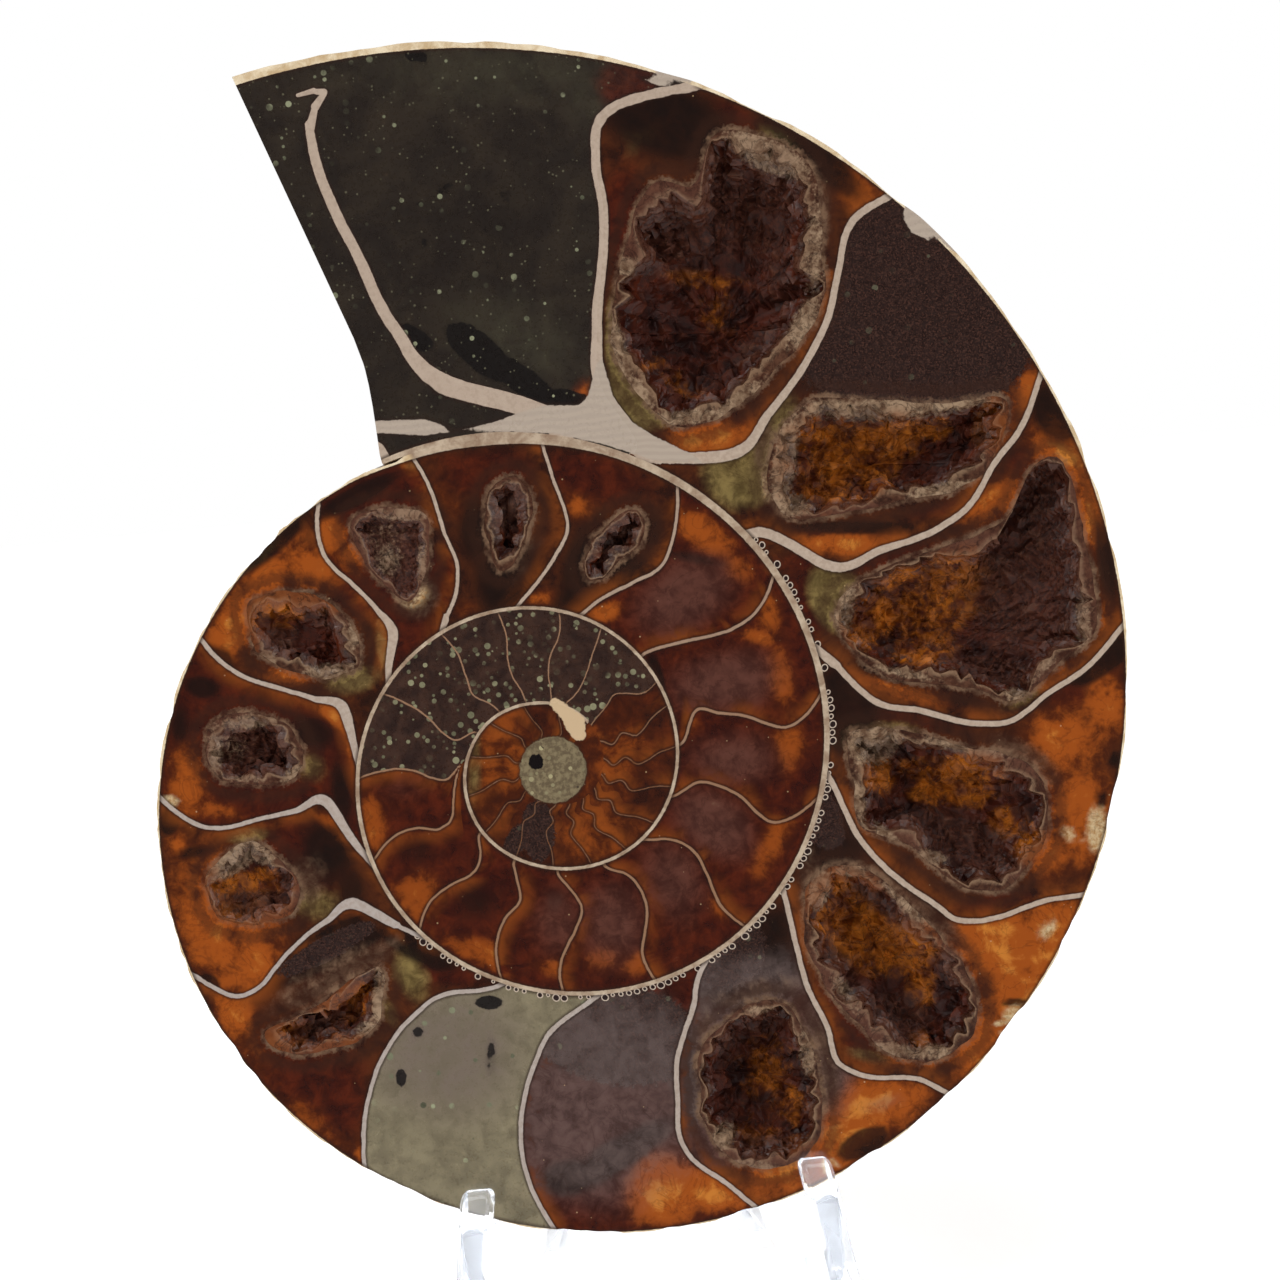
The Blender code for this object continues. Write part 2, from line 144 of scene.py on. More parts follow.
# %% floor
FLOOR_HALF = 0.5
bpy.ops.mesh.primitive_plane_add(size=2 * FLOOR_HALF)
floor = bpy.context.object
floor.name = "floor"
bpy.ops.object.mode_set(mode="EDIT")
bpy.ops.mesh.select_all(action="SELECT")
bpy.ops.mesh.subdivide(number_cuts=7)
bpy.ops.mesh.select_all(action="DESELECT")
bpy.ops.object.mode_set(mode="OBJECT")
bpy.ops.object.shade_smooth()
paper = bpy.data.materials.new("light_table")
paper.use_nodes = True
paper.node_tree.nodes["Principled BSDF"].inputs["Base Color"].default_value = (0.9, 0.9, 0.9, 1.0)
paper.node_tree.nodes["Principled BSDF"].inputs["Roughness"].default_value = 0.9
paper.node_tree.nodes["Principled BSDF"].inputs["Emission Color"].default_value = (1.0, 1.0, 1.0, 1.0)
paper.node_tree.nodes["Principled BSDF"].inputs["Emission Strength"].default_value = 0.5
floor.data.materials.append(paper)
print("floor:", len(floor.data.polygons), "faces")

# %% [markdown]
# ## The spiral, measured in growth
# Every line of an ammonite follows its spiral. We name a place by its growth angle (how far the
# shell had turned when it made that spot) and its share of the whorl: 0 on the inner wall and 1
# on the outer one. The wall's radius is known at every 60 degrees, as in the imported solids.

# %% growth angle and radius
TURN = 360.0
APERTURE = 1195.0
WALL_START = 90.0
WALL_STEP = 60.0
WALL_RADII = (6.7, 8.4, 9.5, 9.9, 11.4, 13.2, 16.1, 18.8, 20.7, 22.4, 25.5, 29.0, 33.2, 37.6,
              42.2, 46.4, 52.6, 62.0, 72.8, 81.5)


def wall_radius(growth):
    """Radius of the whorl wall at these growth angles, in millimetres."""
    logs = np.log(np.array(WALL_RADII))
    last = len(logs) - 1
    place = (np.asarray(growth, float) - WALL_START) / WALL_STEP
    index = np.clip(np.floor(place).astype(int), 0, last - 1)
    t = place - index
    a, b = logs[np.clip(index - 1, 0, last)], logs[index]
    c, d = logs[index + 1], logs[np.clip(index + 2, 0, last)]
    curve = b + 0.5 * t * (c - a + t * (2 * a - 5 * b + 4 * c - d + t * (3 * (b - c) + d - a)))
    return np.exp(np.where(t < 0, b + t * (c - b), curve))


def growth_of(x, z):
    """Growth angle of the outermost whorl that covers each point of the face."""
    start = APERTURE + 6.0 - TURN
    growth = start + (np.degrees(np.arctan2(z, x)) - start) % TURN
    radius = np.hypot(x, z)
    for _ in range(4):
        growth = np.where(radius < wall_radius(growth - TURN), growth - TURN, growth)
    return growth


def worn_away(growth):
    """How far time chipped the outer edge inwards, in millimetres."""
    turn = np.radians(growth)
    chips = [noise.noise(Vector((9.0 * math.cos(a), 9.0 * math.sin(a), 0.0)))
             + 0.6 * noise.noise(Vector((27.0 * math.cos(a), 27.0 * math.sin(a), 4.0))) for a in turn]
    return np.clip(0.12 + 0.42 * np.array(chips), 0.0, 0.5)


print("wall radii at the aperture and a turn before, mm:",
      wall_radius([APERTURE, APERTURE - TURN]).round(1))

# %% [markdown]
# ## The polished face
# A flat grid is wound up like a roll of liquorice: its long side follows the spiral and its short
# side runs from the inner wall to the outer one. Each turn then meets the next along a shared
# line of corners, exactly where the shell's wall lies, so the wall can be drawn sharply.

# %% wind a grid onto the spiral
FIRST_GROWTH = 55.0
LAST_GROWTH = 1201.0
DEGREES_A_COLUMN = 0.75
ROWS = 44
FACE_SLAB = 1.0                           # thickness of the polished piece, mm


def active_mesh():
    return bpy.context.object.data


def corners_of(mesh):
    """The mesh's corner positions as an array."""
    places = np.empty(len(mesh.vertices) * 3)
    mesh.vertices.foreach_get("co", places)
    return places.reshape(-1, 3)


def move_corners(mesh, places):
    mesh.vertices.foreach_set("co", np.ascontiguousarray(places, float).ravel())
    mesh.update()


columns = round((LAST_GROWTH - FIRST_GROWTH) / DEGREES_A_COLUMN)
bpy.ops.mesh.primitive_grid_add(x_subdivisions=columns, y_subdivisions=ROWS, size=1.0, calc_uvs=False)
face = bpy.context.object
face.name = "polished_face"
flat = corners_of(face.data)
growth = FIRST_GROWTH + (flat[:, 0] + 0.5) * (LAST_GROWTH - FIRST_GROWTH)
share = flat[:, 1] + 0.5
outer_wall = wall_radius(growth)
inner_wall = wall_radius(growth - TURN)
radius = inner_wall ** (1.0 - share) * outer_wall ** share
outermost = growth > APERTURE - TURN
radius[outermost] -= worn_away(growth[outermost]) * share[outermost] ** 12
angle = np.radians(growth)
move_corners(face.data, np.stack([radius * np.cos(angle), 0 * radius, radius * np.sin(angle)], 1))
bpy.ops.object.mode_set(mode="EDIT")
bpy.ops.mesh.select_all(action="SELECT")
bpy.ops.mesh.remove_doubles(threshold=0.004)
bpy.ops.mesh.select_all(action="DESELECT")
bpy.ops.mesh.select_mode(type="EDGE")
bpy.ops.mesh.select_non_manifold()
bpy.ops.object.mode_set(mode="OBJECT")
print("wound grid:", len(face.data.vertices), "corners,", sum(e.select for e in face.data.edges), "open edges")

# %% [markdown]
# ## The open hollows
# Some chambers never filled: crystals grew in from their walls and left a hole. The saw opened
# these hollows. Each one is cut with a ball: its equator is pulled out to the outline of the
# mouth, its lower half is pressed into a bowl and its upper half is flattened above the face.

# %% the hollows' mouths
HOLLOWS = {
    "chamber_1": (10.0, 2.0, ((17, 64.5), (25.5, 61), (27, 51), (26.5, 45.5), (21, 39), (16, 35.3),
                              (11.5, 34.8), (6.3, 41), (6, 48), (9.3, 58.7), (13.8, 59))),
    "chamber_2": (8.5, 1.8, ((27.5, 37.5), (39, 37), (45, 37.5), (45, 33.5), (42, 29), (34.5, 27),
                             (25, 25.3), (22, 27), (21.5, 31), (23.5, 35.5))),
    "chamber_3": (8.5, 1.9, ((28.5, 17.2), (35, 21.2), (41, 23), (45.4, 25.4), (48.2, 30.6), (51, 31),
                             (53, 25), (54.5, 14.5), (50.8, 11), (46.7, 7), (41.5, 8.3), (34, 9.2),
                             (29.5, 12.5))),
    "chamber_4": (8.0, 1.7, ((29.7, 3.7), (34.8, 4), (41, 2.5), (47, 1), (49.5, -3), (48.5, -8.5),
                             (45, -12), (40.5, -11.5), (36, -8), (31, -5.5), (30, -1))),
    "chamber_5": (8.0, 1.7, ((25.8, -11), (29.8, -9.5), (33.5, -11.5), (40.5, -18.8), (42.5, -24),
                             (40.5, -28.3), (34.5, -29), (29, -24), (25.7, -19), (25, -15))),
    "chamber_6": (7.5, 1.4, ((19, -24), (22.8, -23.5), (25.5, -27), (27, -34), (26, -38),
                             (22, -40.3), (17, -38.5), (14.8, -34.5), (14.6, -29), (16, -26.5))),
    "chamber_7": (4.6, 1.2, ((-29, -26.3), (-24.5, -24), (-20, -20.8), (-17.5, -20), (-17.3, -23),
                             (-18.5, -26.5), (-24, -28.6), (-28, -28))),
    "chamber_8": (3.5, 1.0, ((-35, -10.5), (-31.5, -7.5), (-29, -8), (-26, -11), (-26.5, -14.5),
                             (-31, -15.5), (-34.2, -14.5))),
    "chamber_9": (4.2, 1.2, ((-35, 3.5), (-33.5, 5.5), (-29.5, 5.6), (-26.5, 4), (-25.3, 1),
                             (-27, -1.2), (-30.5, -1.3), (-34.3, -0.5))),
    "chamber_10": (4.2, 1.2, ((-31, 16), (-29, 17.7), (-24, 17.6), (-20.5, 14.5), (-19.6, 11),
                              (-22.5, 9.2), (-26, 9.8), (-30, 12))),
    "chamber_11": (2.5, 1.0, ((-20.5, 25), (-18, 26.3), (-14.5, 26.4), (-12.8, 25), (-12.8, 20.5),
                              (-14.5, 17), (-17, 18.5), (-19.6, 21.7))),
    "chamber_12": (4.2, 0.8, ((-6.5, 28.3), (-4.5, 29.4), (-2.7, 28.2), (-2.5, 25.2), (-3.7, 21.7),
                              (-5.2, 20), (-6.5, 21.7), (-7, 25.2))),
    "chamber_13": (3.4, 0.6, ((7.4, 26.1), (8.8, 25.3), (8.6, 22.9), (6.4, 20.9), (4.5, 19.1),
                              (3, 19.4), (3.1, 21.8), (4.9, 24.3))),
}
WALL_LEFT = 1.5                           # least stone behind a hollow, mm
BALL_SEGMENTS = 96
BALL_RINGS = 40


def smooth_outline(knots, count):
    """A closed curve through a ring of points (Catmull-Rom), at equal shares of its length."""
    knots = np.asarray(knots, float)
    fine = []
    t = np.linspace(0.0, 1.0, 24, endpoint=False)[:, None]
    for i in range(len(knots)):
        a, b, c, d = (knots[(i + shift) % len(knots)] for shift in (-1, 0, 1, 2))
        fine.append(b + 0.5 * t * (c - a + t * (2 * a - 5 * b + 4 * c - d + t * (3 * (b - c) + d - a))))
    fine = np.concatenate(fine)
    closed = np.vstack([fine, fine[:1]])
    run = np.concatenate([[0.0], np.cumsum(np.hypot(*np.diff(closed, axis=0).T))])
    at = np.linspace(0.0, run[-1], count, endpoint=False)
    return np.stack([np.interp(at, run, closed[:, i]) for i in (0, 1)], 1)


def wobble(places, size, strength, seed):
    """Smooth random numbers at these places, for a natural unevenness."""
    rows = [noise.noise(Vector((p[0] / size + seed * 7.3, p[1] / size, seed * 3.1))) for p in places]
    return strength * np.array(rows)


def mouth_outline(name, count=BALL_SEGMENTS):
    """The mouth of a hollow on the face: smooth corners with a little raggedness."""
    outline = smooth_outline(HOLLOWS[name][2], count)
    out = outline - outline.mean(0)
    out /= np.hypot(out[:, 0], out[:, 1])[:, None]
    seed = int(name.split("_")[1])
    ragged = wobble(outline, 2.2, 0.35, seed) + wobble(outline, 0.8, 0.18, seed + 20)
    return outline + out * ragged[:, None]


# %% how deep the stone is behind the face
HALF_WIDTH = 0.2
UMBILICUS = 0.27
WIDEST = 0.22
FLANK_POWER = 2.6
VENTER_POWER = 0.62
UMBILICUS_POWER = 0.8
FIRST_TURN_DEPTH = 0.6
INNERMOST = 2.2


def flank_depth(growth, radius, turns=3):
    """Depth of the shell's back behind the face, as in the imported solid, in millimetres."""
    growth, radius = np.broadcast_arrays(np.asarray(growth, float), np.asarray(radius, float))
    outer = wall_radius(growth)
    seam = UMBILICUS * outer
    full = HALF_WIDTH * outer
    part = np.clip((radius - seam) / (outer - seam), 0.0, 1.0)
    fall = np.clip((part - WIDEST) / (1.0 - WIDEST), 0.0, 1.0) ** FLANK_POWER
    flank = full * np.clip(1.0 - fall, 0.0, 1.0) ** VENTER_POWER
    if turns:
        behind = flank_depth(growth - TURN, np.minimum(radius, seam), turns - 1)
        at_seam = np.where(seam > INNERMOST, flank_depth(growth - TURN, seam, turns - 1), FIRST_TURN_DEPTH * full)
    else:
        behind = full
        at_seam = FIRST_TURN_DEPTH * full
    rise = np.sin(0.5 * np.pi * np.clip(part / WIDEST, 0.0, 1.0) ** UMBILICUS_POWER)
    flank = np.where(part < WIDEST, at_seam + (full - at_seam) * rise, flank)
    depth = np.where(radius < seam, behind, flank)
    return np.where(outer < 2 * INNERMOST, HALF_WIDTH * outer, depth)


def stone_behind(x, z):
    """Depth of the stone behind points of the face."""
    start = APERTURE - TURN
    growth = start + (np.degrees(np.arctan2(z, x)) - start) % TURN
    return flank_depth(growth, np.hypot(x, z))


print("stone behind the first hollow, mm:", stone_behind(np.array([16.0]), np.array([50.0])).round(1))


# %% press a ball into a bowl
def add_ball(name, segments=BALL_SEGMENTS, rings=BALL_RINGS):
    """A sphere, with the turn round it and the angle from its top for each corner."""
    bpy.ops.mesh.primitive_uv_sphere_add(segments=segments, ring_count=rings, radius=1.0, calc_uvs=False)
    ball = bpy.context.object
    ball.name = name
    spots = corners_of(ball.data)
    round_turn = (np.arctan2(spots[:, 1], spots[:, 0]) / (2 * np.pi)) % 1.0
    from_top = np.arccos(np.clip(spots[:, 2], -1.0, 1.0))
    return ball, round_turn, from_top


def along(outline, round_turn):
    """Points at these shares of the way round a closed outline."""
    at = np.append(np.arange(len(outline)), len(outline)) / len(outline)
    closed = np.vstack([outline, outline[:1]])
    return np.stack([np.interp(round_turn, at, closed[:, i]) for i in (0, 1)], 1)


def bowl_places(outline, round_turn, sunk, depth, left):
    """Places on a bowl: sunk is 0 at its mouth and 90 degrees on its floor."""
    middle = outline.mean(0)
    shrink = np.clip(np.cos(sunk), 0.0, 1.0) ** 0.7
    flat_place = middle + (along(outline, round_turn) - middle) * shrink[:, None]
    room = stone_behind(flat_place[:, 0], flat_place[:, 1]) - left
    down = np.minimum(depth * np.sin(sunk), room)
    return np.stack([flat_place[:, 0], down, flat_place[:, 1]], 1)


def turn_faces_out():
    bpy.ops.object.mode_set(mode="EDIT")
    bpy.ops.mesh.select_all(action="SELECT")
    bpy.ops.mesh.normals_make_consistent(inside=False)
    bpy.ops.mesh.select_all(action="DESELECT")
    bpy.ops.object.mode_set(mode="OBJECT")


cutters = []
for hollow, (depth, crust, knots) in HOLLOWS.items():
    ball, round_turn, from_top = add_ball(hollow + "_cutter", rings=24)
    outline = mouth_outline(hollow)
    lower = from_top > 0.5 * math.pi + 1e-6
    bowl = bowl_places(outline, round_turn, np.where(lower, from_top - 0.5 * np.pi, 0.0), depth, WALL_LEFT)
    middle = outline.mean(0)
    lid = middle + (along(outline, round_turn) - middle) * np.sin(from_top)[:, None]
    top = np.stack([lid[:, 0], -0.5 - 0.5 * np.cos(from_top).clip(0, 1) ** 0.3, lid[:, 1]], 1)
    move_corners(ball.data, np.where(lower[:, None], bowl, top))
    turn_faces_out()
    cutters.append(ball)
print("cutters:", len(cutters))

# %% [markdown]
# ## Cutting the face
# The wound grid gets its thickness by extruding its rim, then the hollows are cut through it in
# one Boolean, together with the edge of the aperture, where the shell ended in a slightly curved
# lip. One pass over a joined cutter is much faster than one for each hollow.

# %% the aperture's edge
LAG_DEGREES = 4.4                         # how far the inner end of the edge trails
LAG_OUTER = 47.0
LAG_INNER = 35.8


def aperture_angle(radius):
    """Growth angle of the aperture's edge at these radii."""
    lag = np.clip((LAG_OUTER - radius) / (LAG_OUTER - LAG_INNER), 0.0, 1.0)
    return APERTURE + LAG_DEGREES * lag ** 1.6


edge_radii = np.array([90.0, 78.0, 70.0, 62.0, 54.0, 48.0, 45.0, 43.0, 41.0, 39.0, 37.5, 36.4, 35.5])
edge_turns = aperture_angle(edge_radii)
wall_turns = np.arange(839.4, 842.5, 0.6)
rim_turns = np.concatenate([edge_turns, wall_turns + TURN, [1213.0]])
rim_radii = np.concatenate([edge_radii, wall_radius(wall_turns) - 0.05, [90.0]])
rim_angles = np.radians(rim_turns)
bpy.ops.mesh.primitive_circle_add(vertices=len(rim_radii), fill_type="NGON", radius=1.0)
lip = bpy.context.object
lip.name = "aperture_cutter"
move_corners(lip.data, np.stack([rim_radii * np.cos(rim_angles), -2.0 + 0 * rim_radii,
                                 rim_radii * np.sin(rim_angles)], 1))
bpy.ops.object.mode_set(mode="EDIT")
bpy.ops.mesh.select_all(action="SELECT")
bpy.ops.mesh.extrude_region_move(TRANSFORM_OT_translate={"value": (0.0, 30.0, 0.0)})
bpy.ops.object.mode_set(mode="OBJECT")
turn_faces_out()
cutters.append(lip)

bpy.ops.object.select_all(action="DESELECT")
for cutter in cutters:
    cutter.select_set(True)
bpy.context.view_layer.objects.active = lip
bpy.ops.object.join()
lip.name = "hollow_cutters"
print("joined cutter:", len(lip.data.polygons), "faces")

# %% thicken the face and cut it
bpy.ops.object.select_all(action="DESELECT")
bpy.context.view_layer.objects.active = face
face.select_set(True)
for rim_edge in face.data.edges:
    rim_edge.select = False
bpy.ops.object.mode_set(mode="EDIT")
bpy.ops.mesh.select_mode(type="EDGE")
bm = bmesh.from_edit_mesh(face.data)
for edge in bm.edges:
    edge.select_set(edge.is_boundary and edge.verts[0].co.length < 20.0)
bmesh.update_edit_mesh(face.data)
bpy.ops.mesh.edge_face_add()
bpy.ops.mesh.select_all(action="DESELECT")
bm = bmesh.from_edit_mesh(face.data)
for edge in bm.edges:
    edge.select_set(edge.is_boundary)
bmesh.update_edit_mesh(face.data)
bpy.ops.mesh.extrude_edges_move(TRANSFORM_OT_translate={"value": (0.0, 0.4 * FACE_SLAB, 0.0)})
bpy.ops.mesh.extrude_edges_move(TRANSFORM_OT_translate={"value": (0.0, 0.6 * FACE_SLAB, 0.0)})
bpy.ops.transform.resize(value=(0.995, 1.0, 0.995), center_override=(0.0, FACE_SLAB, 0.0))
bpy.ops.mesh.edge_face_add()
bpy.ops.object.mode_set(mode="OBJECT")
turn_faces_out()
cut = face.modifiers.new("hollows", "BOOLEAN")
cut.operation = "DIFFERENCE"
cut.solver = "EXACT"
cut.object = lip
bpy.ops.object.modifier_apply(modifier="hollows")
lip.hide_render = True
print("cut face:", len(face.data.polygons), "faces,", len(face.data.vertices), "corners")

# %% [markdown]
# ## Lines of growth
# Each septum was a wall behind the animal, and its line on the face is a soft wave. We give its
# growth angle at seven or nine places across the whorl. From them every corner of the face learns its
# chamber number, a value that climbs by one at each septum, so a shader can draw each line where
# the value is whole. The slope of that value tells millimetres from it.

# %% the septa, oldest last
SHARES = (0.0, 0.05, 0.2, 0.4, 0.6, 0.7, 0.8, 0.9, 1.0)
SEPTA = (
    (1169, 1169, 1185, 1190, 1191, 1191.5, 1189),
    (1155.5, 1155.5, 1162.5, 1164.6, 1164.7, 1165.1, 1166.2, 1165.4, 1157.5),
    (1156.5, 1151.5, 1141, 1139, 1138.4, 1138.9, 1140.4, 1141.6, 1139.6),
    (1131, 1129.5, 1117, 1114, 1112.2, 1112.6, 1114.9, 1116.4, 1119.5),
    (1106, 1102.5, 1093, 1089.2, 1086.2, 1086.2, 1088.9, 1090.9, 1094.5),
    (1080, 1077, 1068.7, 1063.2, 1060.6, 1059.6, 1061.4, 1064.9, 1066.8),
    (1053, 1051, 1045.5, 1039.6, 1036.3, 1034.1, 1035.5, 1039.4, 1040.6),
    (1029.5, 1026, 1020.4, 1013.2, 1010.1, 1008.8, 1009.5, 1012.5, 1014.8),
    (1002, 998.5, 990, 986, 984.5, 985.5, 990), (977, 974.5, 964.5, 960, 959, 960.5, 964.5),
    (953, 947.5, 934.5, 933.5, 934.2, 935.2, 936.3, 935, 928.8), (927.5, 922, 908.5, 909, 909.5, 909.5, 903.5),
    (898.5, 893.5, 884, 883.5, 883.5, 883, 879.5), (872.5, 869.5, 860.5, 858, 857.5, 857, 851),
    (849.5, 847, 840, 835.5, 835, 834, 834.5), (823.5, 821.5, 815.5, 810, 807, 810, 812.5),
    (801, 799.5, 795, 788, 782.5, 783.5, 787), (773, 772.5, 769, 764, 759.5, 758, 762),
    (731, 732, 742.5, 739, 735, 730.5, 736.5), (706.5, 708, 714.5, 714.5, 711, 706.5, 714.5),
    (681, 683, 688.5, 690, 686, 681, 680.5), (657.5, 657.5, 664, 665.5, 662.5, 656, 655.5),
    (631.5, 631.5, 636.5, 641, 637, 632, 632), (606, 606, 610, 615, 611.5, 611.5, 616),
    (580.5, 580.5, 588.5, 591.5, 588, 586.5, 590), (533.5, 533.5, 560.5, 567, 563, 562.5, 567),
    (531, 535, 544, 543.5, 540, 540, 542.5), (514.5, 514.5, 522.5, 521.5, 517.5, 516, 516),
    (493.5, 493.5, 494.5, 497.5, 493.5, 490, 490), (473, 473, 473, 474.5, 473, 470, 470),
    (453, 453, 453, 454, 452.5, 448.5, 448.5), (440.5, 440.5, 436, 432.5, 432, 432, 432),
    (411.5, 411.5, 411.5, 411.5, 411, 402, 401),
)
ZIGZAG = (6.0, 4.0, -3.0, 2.0, -4.0, 1.0, 3.0)      # of the first whorl's simple septa
FIRST_SEPTA = (387, 368, 349, 329, 309, 288, 266, 243, 219, 194, 168, 141, 113, 84, 54, 24)
rows = [list(line) for line in SEPTA] + [[base + step for step in ZIGZAG] for base in FIRST_SEPTA]
for line in rows:
    if len(line) < len(SHARES):           # seven places given: two more from the curve through them
        fourth, sixth, eighth, last = line[3:]
        line.insert(6, (3.0 * last + 6.0 * eighth - sixth) / 8.0)
        line.insert(5, (9.0 * (sixth + eighth) - fourth - last) / 16.0)
septa = np.array(sorted(rows, key=lambda line: line[3]))
septa = np.vstack([septa[:1] - 30.0, septa, septa[-1:] + 30.0])
SEPTUM_HALF = ((54, 0.03), (400, 0.05), (560, 0.1), (750, 0.13), (830, 0.16), (880, 0.2), (960, 0.2),
               (1040, 0.24), (1100, 0.28), (1140, 0.34), (1165, 0.46), (1190, 0.45))
WALL_HALF = ((55, 0.15), (400, 0.15), (475, 0.17), (560, 0.19), (640, 0.19), (700, 0.23), (760, 0.33),
             (800, 0.4), (822, 0.65), (838, 0.5), (845, 0.25), (900, 0.28), (950, 0.16), (1030, 0.1),
             (1090, 0.22), (1110, 0.36), (1140, 0.42), (1165, 0.5), (1190, 0.9))


def at_share(share):
    """Growth angle of every septum at these shares of the whorl: a smooth curve through the given places."""
    share = np.clip(share, 0.0, 1.0)
    marks = np.array(SHARES)
    slopes = np.gradient(septa, marks, axis=1)
    index = np.clip(np.searchsorted(marks, share, side="right") - 1, 0, len(marks) - 2)
    width = (marks[index + 1] - marks[index])
    t = ((share - marks[index]) / width)[:, None]
    width = width[:, None]
    low, high = septa.T[index], septa.T[index + 1]
    rise, fall = slopes.T[index] * width, slopes.T[index + 1] * width
    return (low * (2 * t ** 3 - 3 * t ** 2 + 1) + rise * (t ** 3 - 2 * t ** 2 + t)
            + high * (3 * t ** 2 - 2 * t ** 3) + fall * (t ** 3 - t ** 2))


def chamber_value(growth, share):
    """Number of septa passed, with the part of the way to the next."""
    lines = at_share(share)
    passed = (lines <= growth[:, None]).sum(1) - 1
    passed = np.clip(passed, 0, lines.shape[1] - 2)
    every = np.arange(len(growth))
    behind, ahead = lines[every, passed], lines[every, passed + 1]
    return passed + (growth - behind) / np.maximum(ahead - behind, 0.5)


LAST_SEPTUM = len(septa) - 2              # index of the youngest septum
print("septa:", LAST_SEPTUM)

# %% [markdown]
# ## Fields on the face
# The face's corners carry what a shader can't know by itself: which chamber this is, how far the
# walls and the hollows are, and which minerals filled the place. The values belong to the face
# corners, not the points, so two whorls can differ on the two sides of their shared wall.

# %% places and growth of every face corner
def loop_fields(mesh):
    """Growth angle, share, radius and flat place of each face corner, by the face it is in."""
    count = len(mesh.loops)
    corner = np.empty(count, int)
    mesh.loops.foreach_get("vertex_index", corner)
    starts = np.empty(len(mesh.polygons), int)
    sizes = np.empty(len(mesh.polygons), int)
    mesh.polygons.foreach_get("loop_start", starts)
    mesh.polygons.foreach_get("loop_total", sizes)
    middles = np.empty(len(mesh.polygons) * 3)
    mesh.polygons.foreach_get("center", middles)
    middles = middles.reshape(-1, 3)
    owner = np.repeat(np.arange(len(sizes)), sizes)
    order = np.argsort(starts)
    owner = np.repeat(order, sizes[order])
    places = corners_of(mesh)[corner]
    face_growth = growth_of(middles[:, 0], middles[:, 2])[owner]
    turn = np.degrees(np.arctan2(places[:, 2], places[:, 0]))
    growth = face_growth + (turn - face_growth + 180.0) % 360.0 - 180.0
    radius = np.maximum(np.hypot(places[:, 0], places[:, 2]), 0.3)
    low, high = wall_radius(growth - TURN), wall_radius(growth)
    share = np.clip(np.log(radius / low) / np.log(high / low), 0.0, 1.0)
    return growth, share, radius, places[:, 0], places[:, 2], (sizes > 20)[owner]


def put(mesh, name, *values):
    """Stores up to three numbers for each face corner."""
    made = mesh.attributes.new(name, "FLOAT_VECTOR", "CORNER")
    columns = [np.broadcast_to(v, len(mesh.loops)) for v in values] + [np.zeros(len(mesh.loops))] * (3 - len(values))
    made.data.foreach_set("vector", np.stack(columns, 1).astype(np.float32).ravel())


CORE_PHASE = 4.5                          # the middle of an early chamber
growth, share, radius, x, z, core = loop_fields(face.data)
value = chamber_value(growth, share)
step = 0.01
across = (chamber_value(growth, np.minimum(share + step, 1.0)) - chamber_value(growth, np.maximum(share - step, 0.0)))
across = np.where(abs(across) < 0.5, across, 0.0) / (np.minimum(share + step, 1.0) - np.maximum(share - step, 0.0))
lines = at_share(share)
passed = np.clip(np.floor(value).astype(int), 0, lines.shape[1] - 2)
every = np.arange(len(value))
gap = np.maximum(lines[every, passed + 1] - lines[every, passed], 0.5)
slope = np.hypot(1.0 / (gap * radius * math.pi / 180.0), across / np.maximum(radius * np.log(wall_radius(growth) / wall_radius(growth - TURN)), 0.1))
nearest = np.clip(np.round(value).astype(int), 0, len(septa) - 1)
half = np.interp(septa[nearest, 3], *zip(*SEPTUM_HALF))
swell = np.where((growth > 845) & (growth < 945), 1.5 * np.exp(-((share - 0.2) / 0.16) ** 2), 0.0)
swell += np.where(growth > 1100, 0.6 * np.exp(-((share - 0.15) / 0.2) ** 2), 0.0)
half = half * (1.0 + swell)
first = nearest == LAST_SEPTUM
half = np.where(first, np.interp(share, (0.0, 0.1, 0.22, 0.35, 0.6, 0.86, 0.9, 0.92), (1.2, 1.2, 0.95, 0.6, 0.55, 0.46, 0.42, -3.0)), half)
value[core], half[core] = CORE_PHASE, -1.0
put(face.data, "growth_line", value, slope, half)
outer_half = np.interp(growth, *zip(*WALL_HALF))
inner_half = np.where(growth > 415, np.interp(growth - TURN, *zip(*WALL_HALF)), -2.0)
from_outer = wall_radius(growth) - radius
from_inner = radius - wall_radius(growth - TURN)
to_walls = np.where(core, 3.0, from_inner - inner_half), np.where(core, 3.0, from_outer - outer_half)
put(face.data, "walls", *to_walls, np.where(growth > APERTURE - TURN, 1.0, 0.0))
print("face corners with fields:", len(value))

# %% distance to outlines
def outline_distance(x, z, outline):
    """Distance to a closed outline: negative inside it."""
    outline = np.asarray(outline, float)
    best = np.full(len(x), 1e9)
    inside = np.zeros(len(x), bool)
    for (ax, az), (bx, bz) in zip(outline, np.roll(outline, -1, axis=0)):
        dx, dz = bx - ax, bz - az
        t = np.clip(((x - ax) * dx + (z - az) * dz) / (dx * dx + dz * dz + 1e-12), 0.0, 1.0)
        best = np.minimum(best, np.hypot(x - ax - t * dx, z - az - t * dz))
        crosses = (az > z) != (bz > z)
        inside ^= crosses & (x < ax + (z - az) * dx / np.where(dz == 0, 1e-12, dz))
    return np.where(inside, -best, best)


mouth = np.full(len(x), 6.0)
for hollow in HOLLOWS:
    outline = mouth_outline(hollow)
    near = np.hypot(*(np.stack([x, z]) - outline.mean(0)[:, None])) < 22.0
    mouth[near] = np.minimum(mouth[near], outline_distance(x[near], z[near], outline))

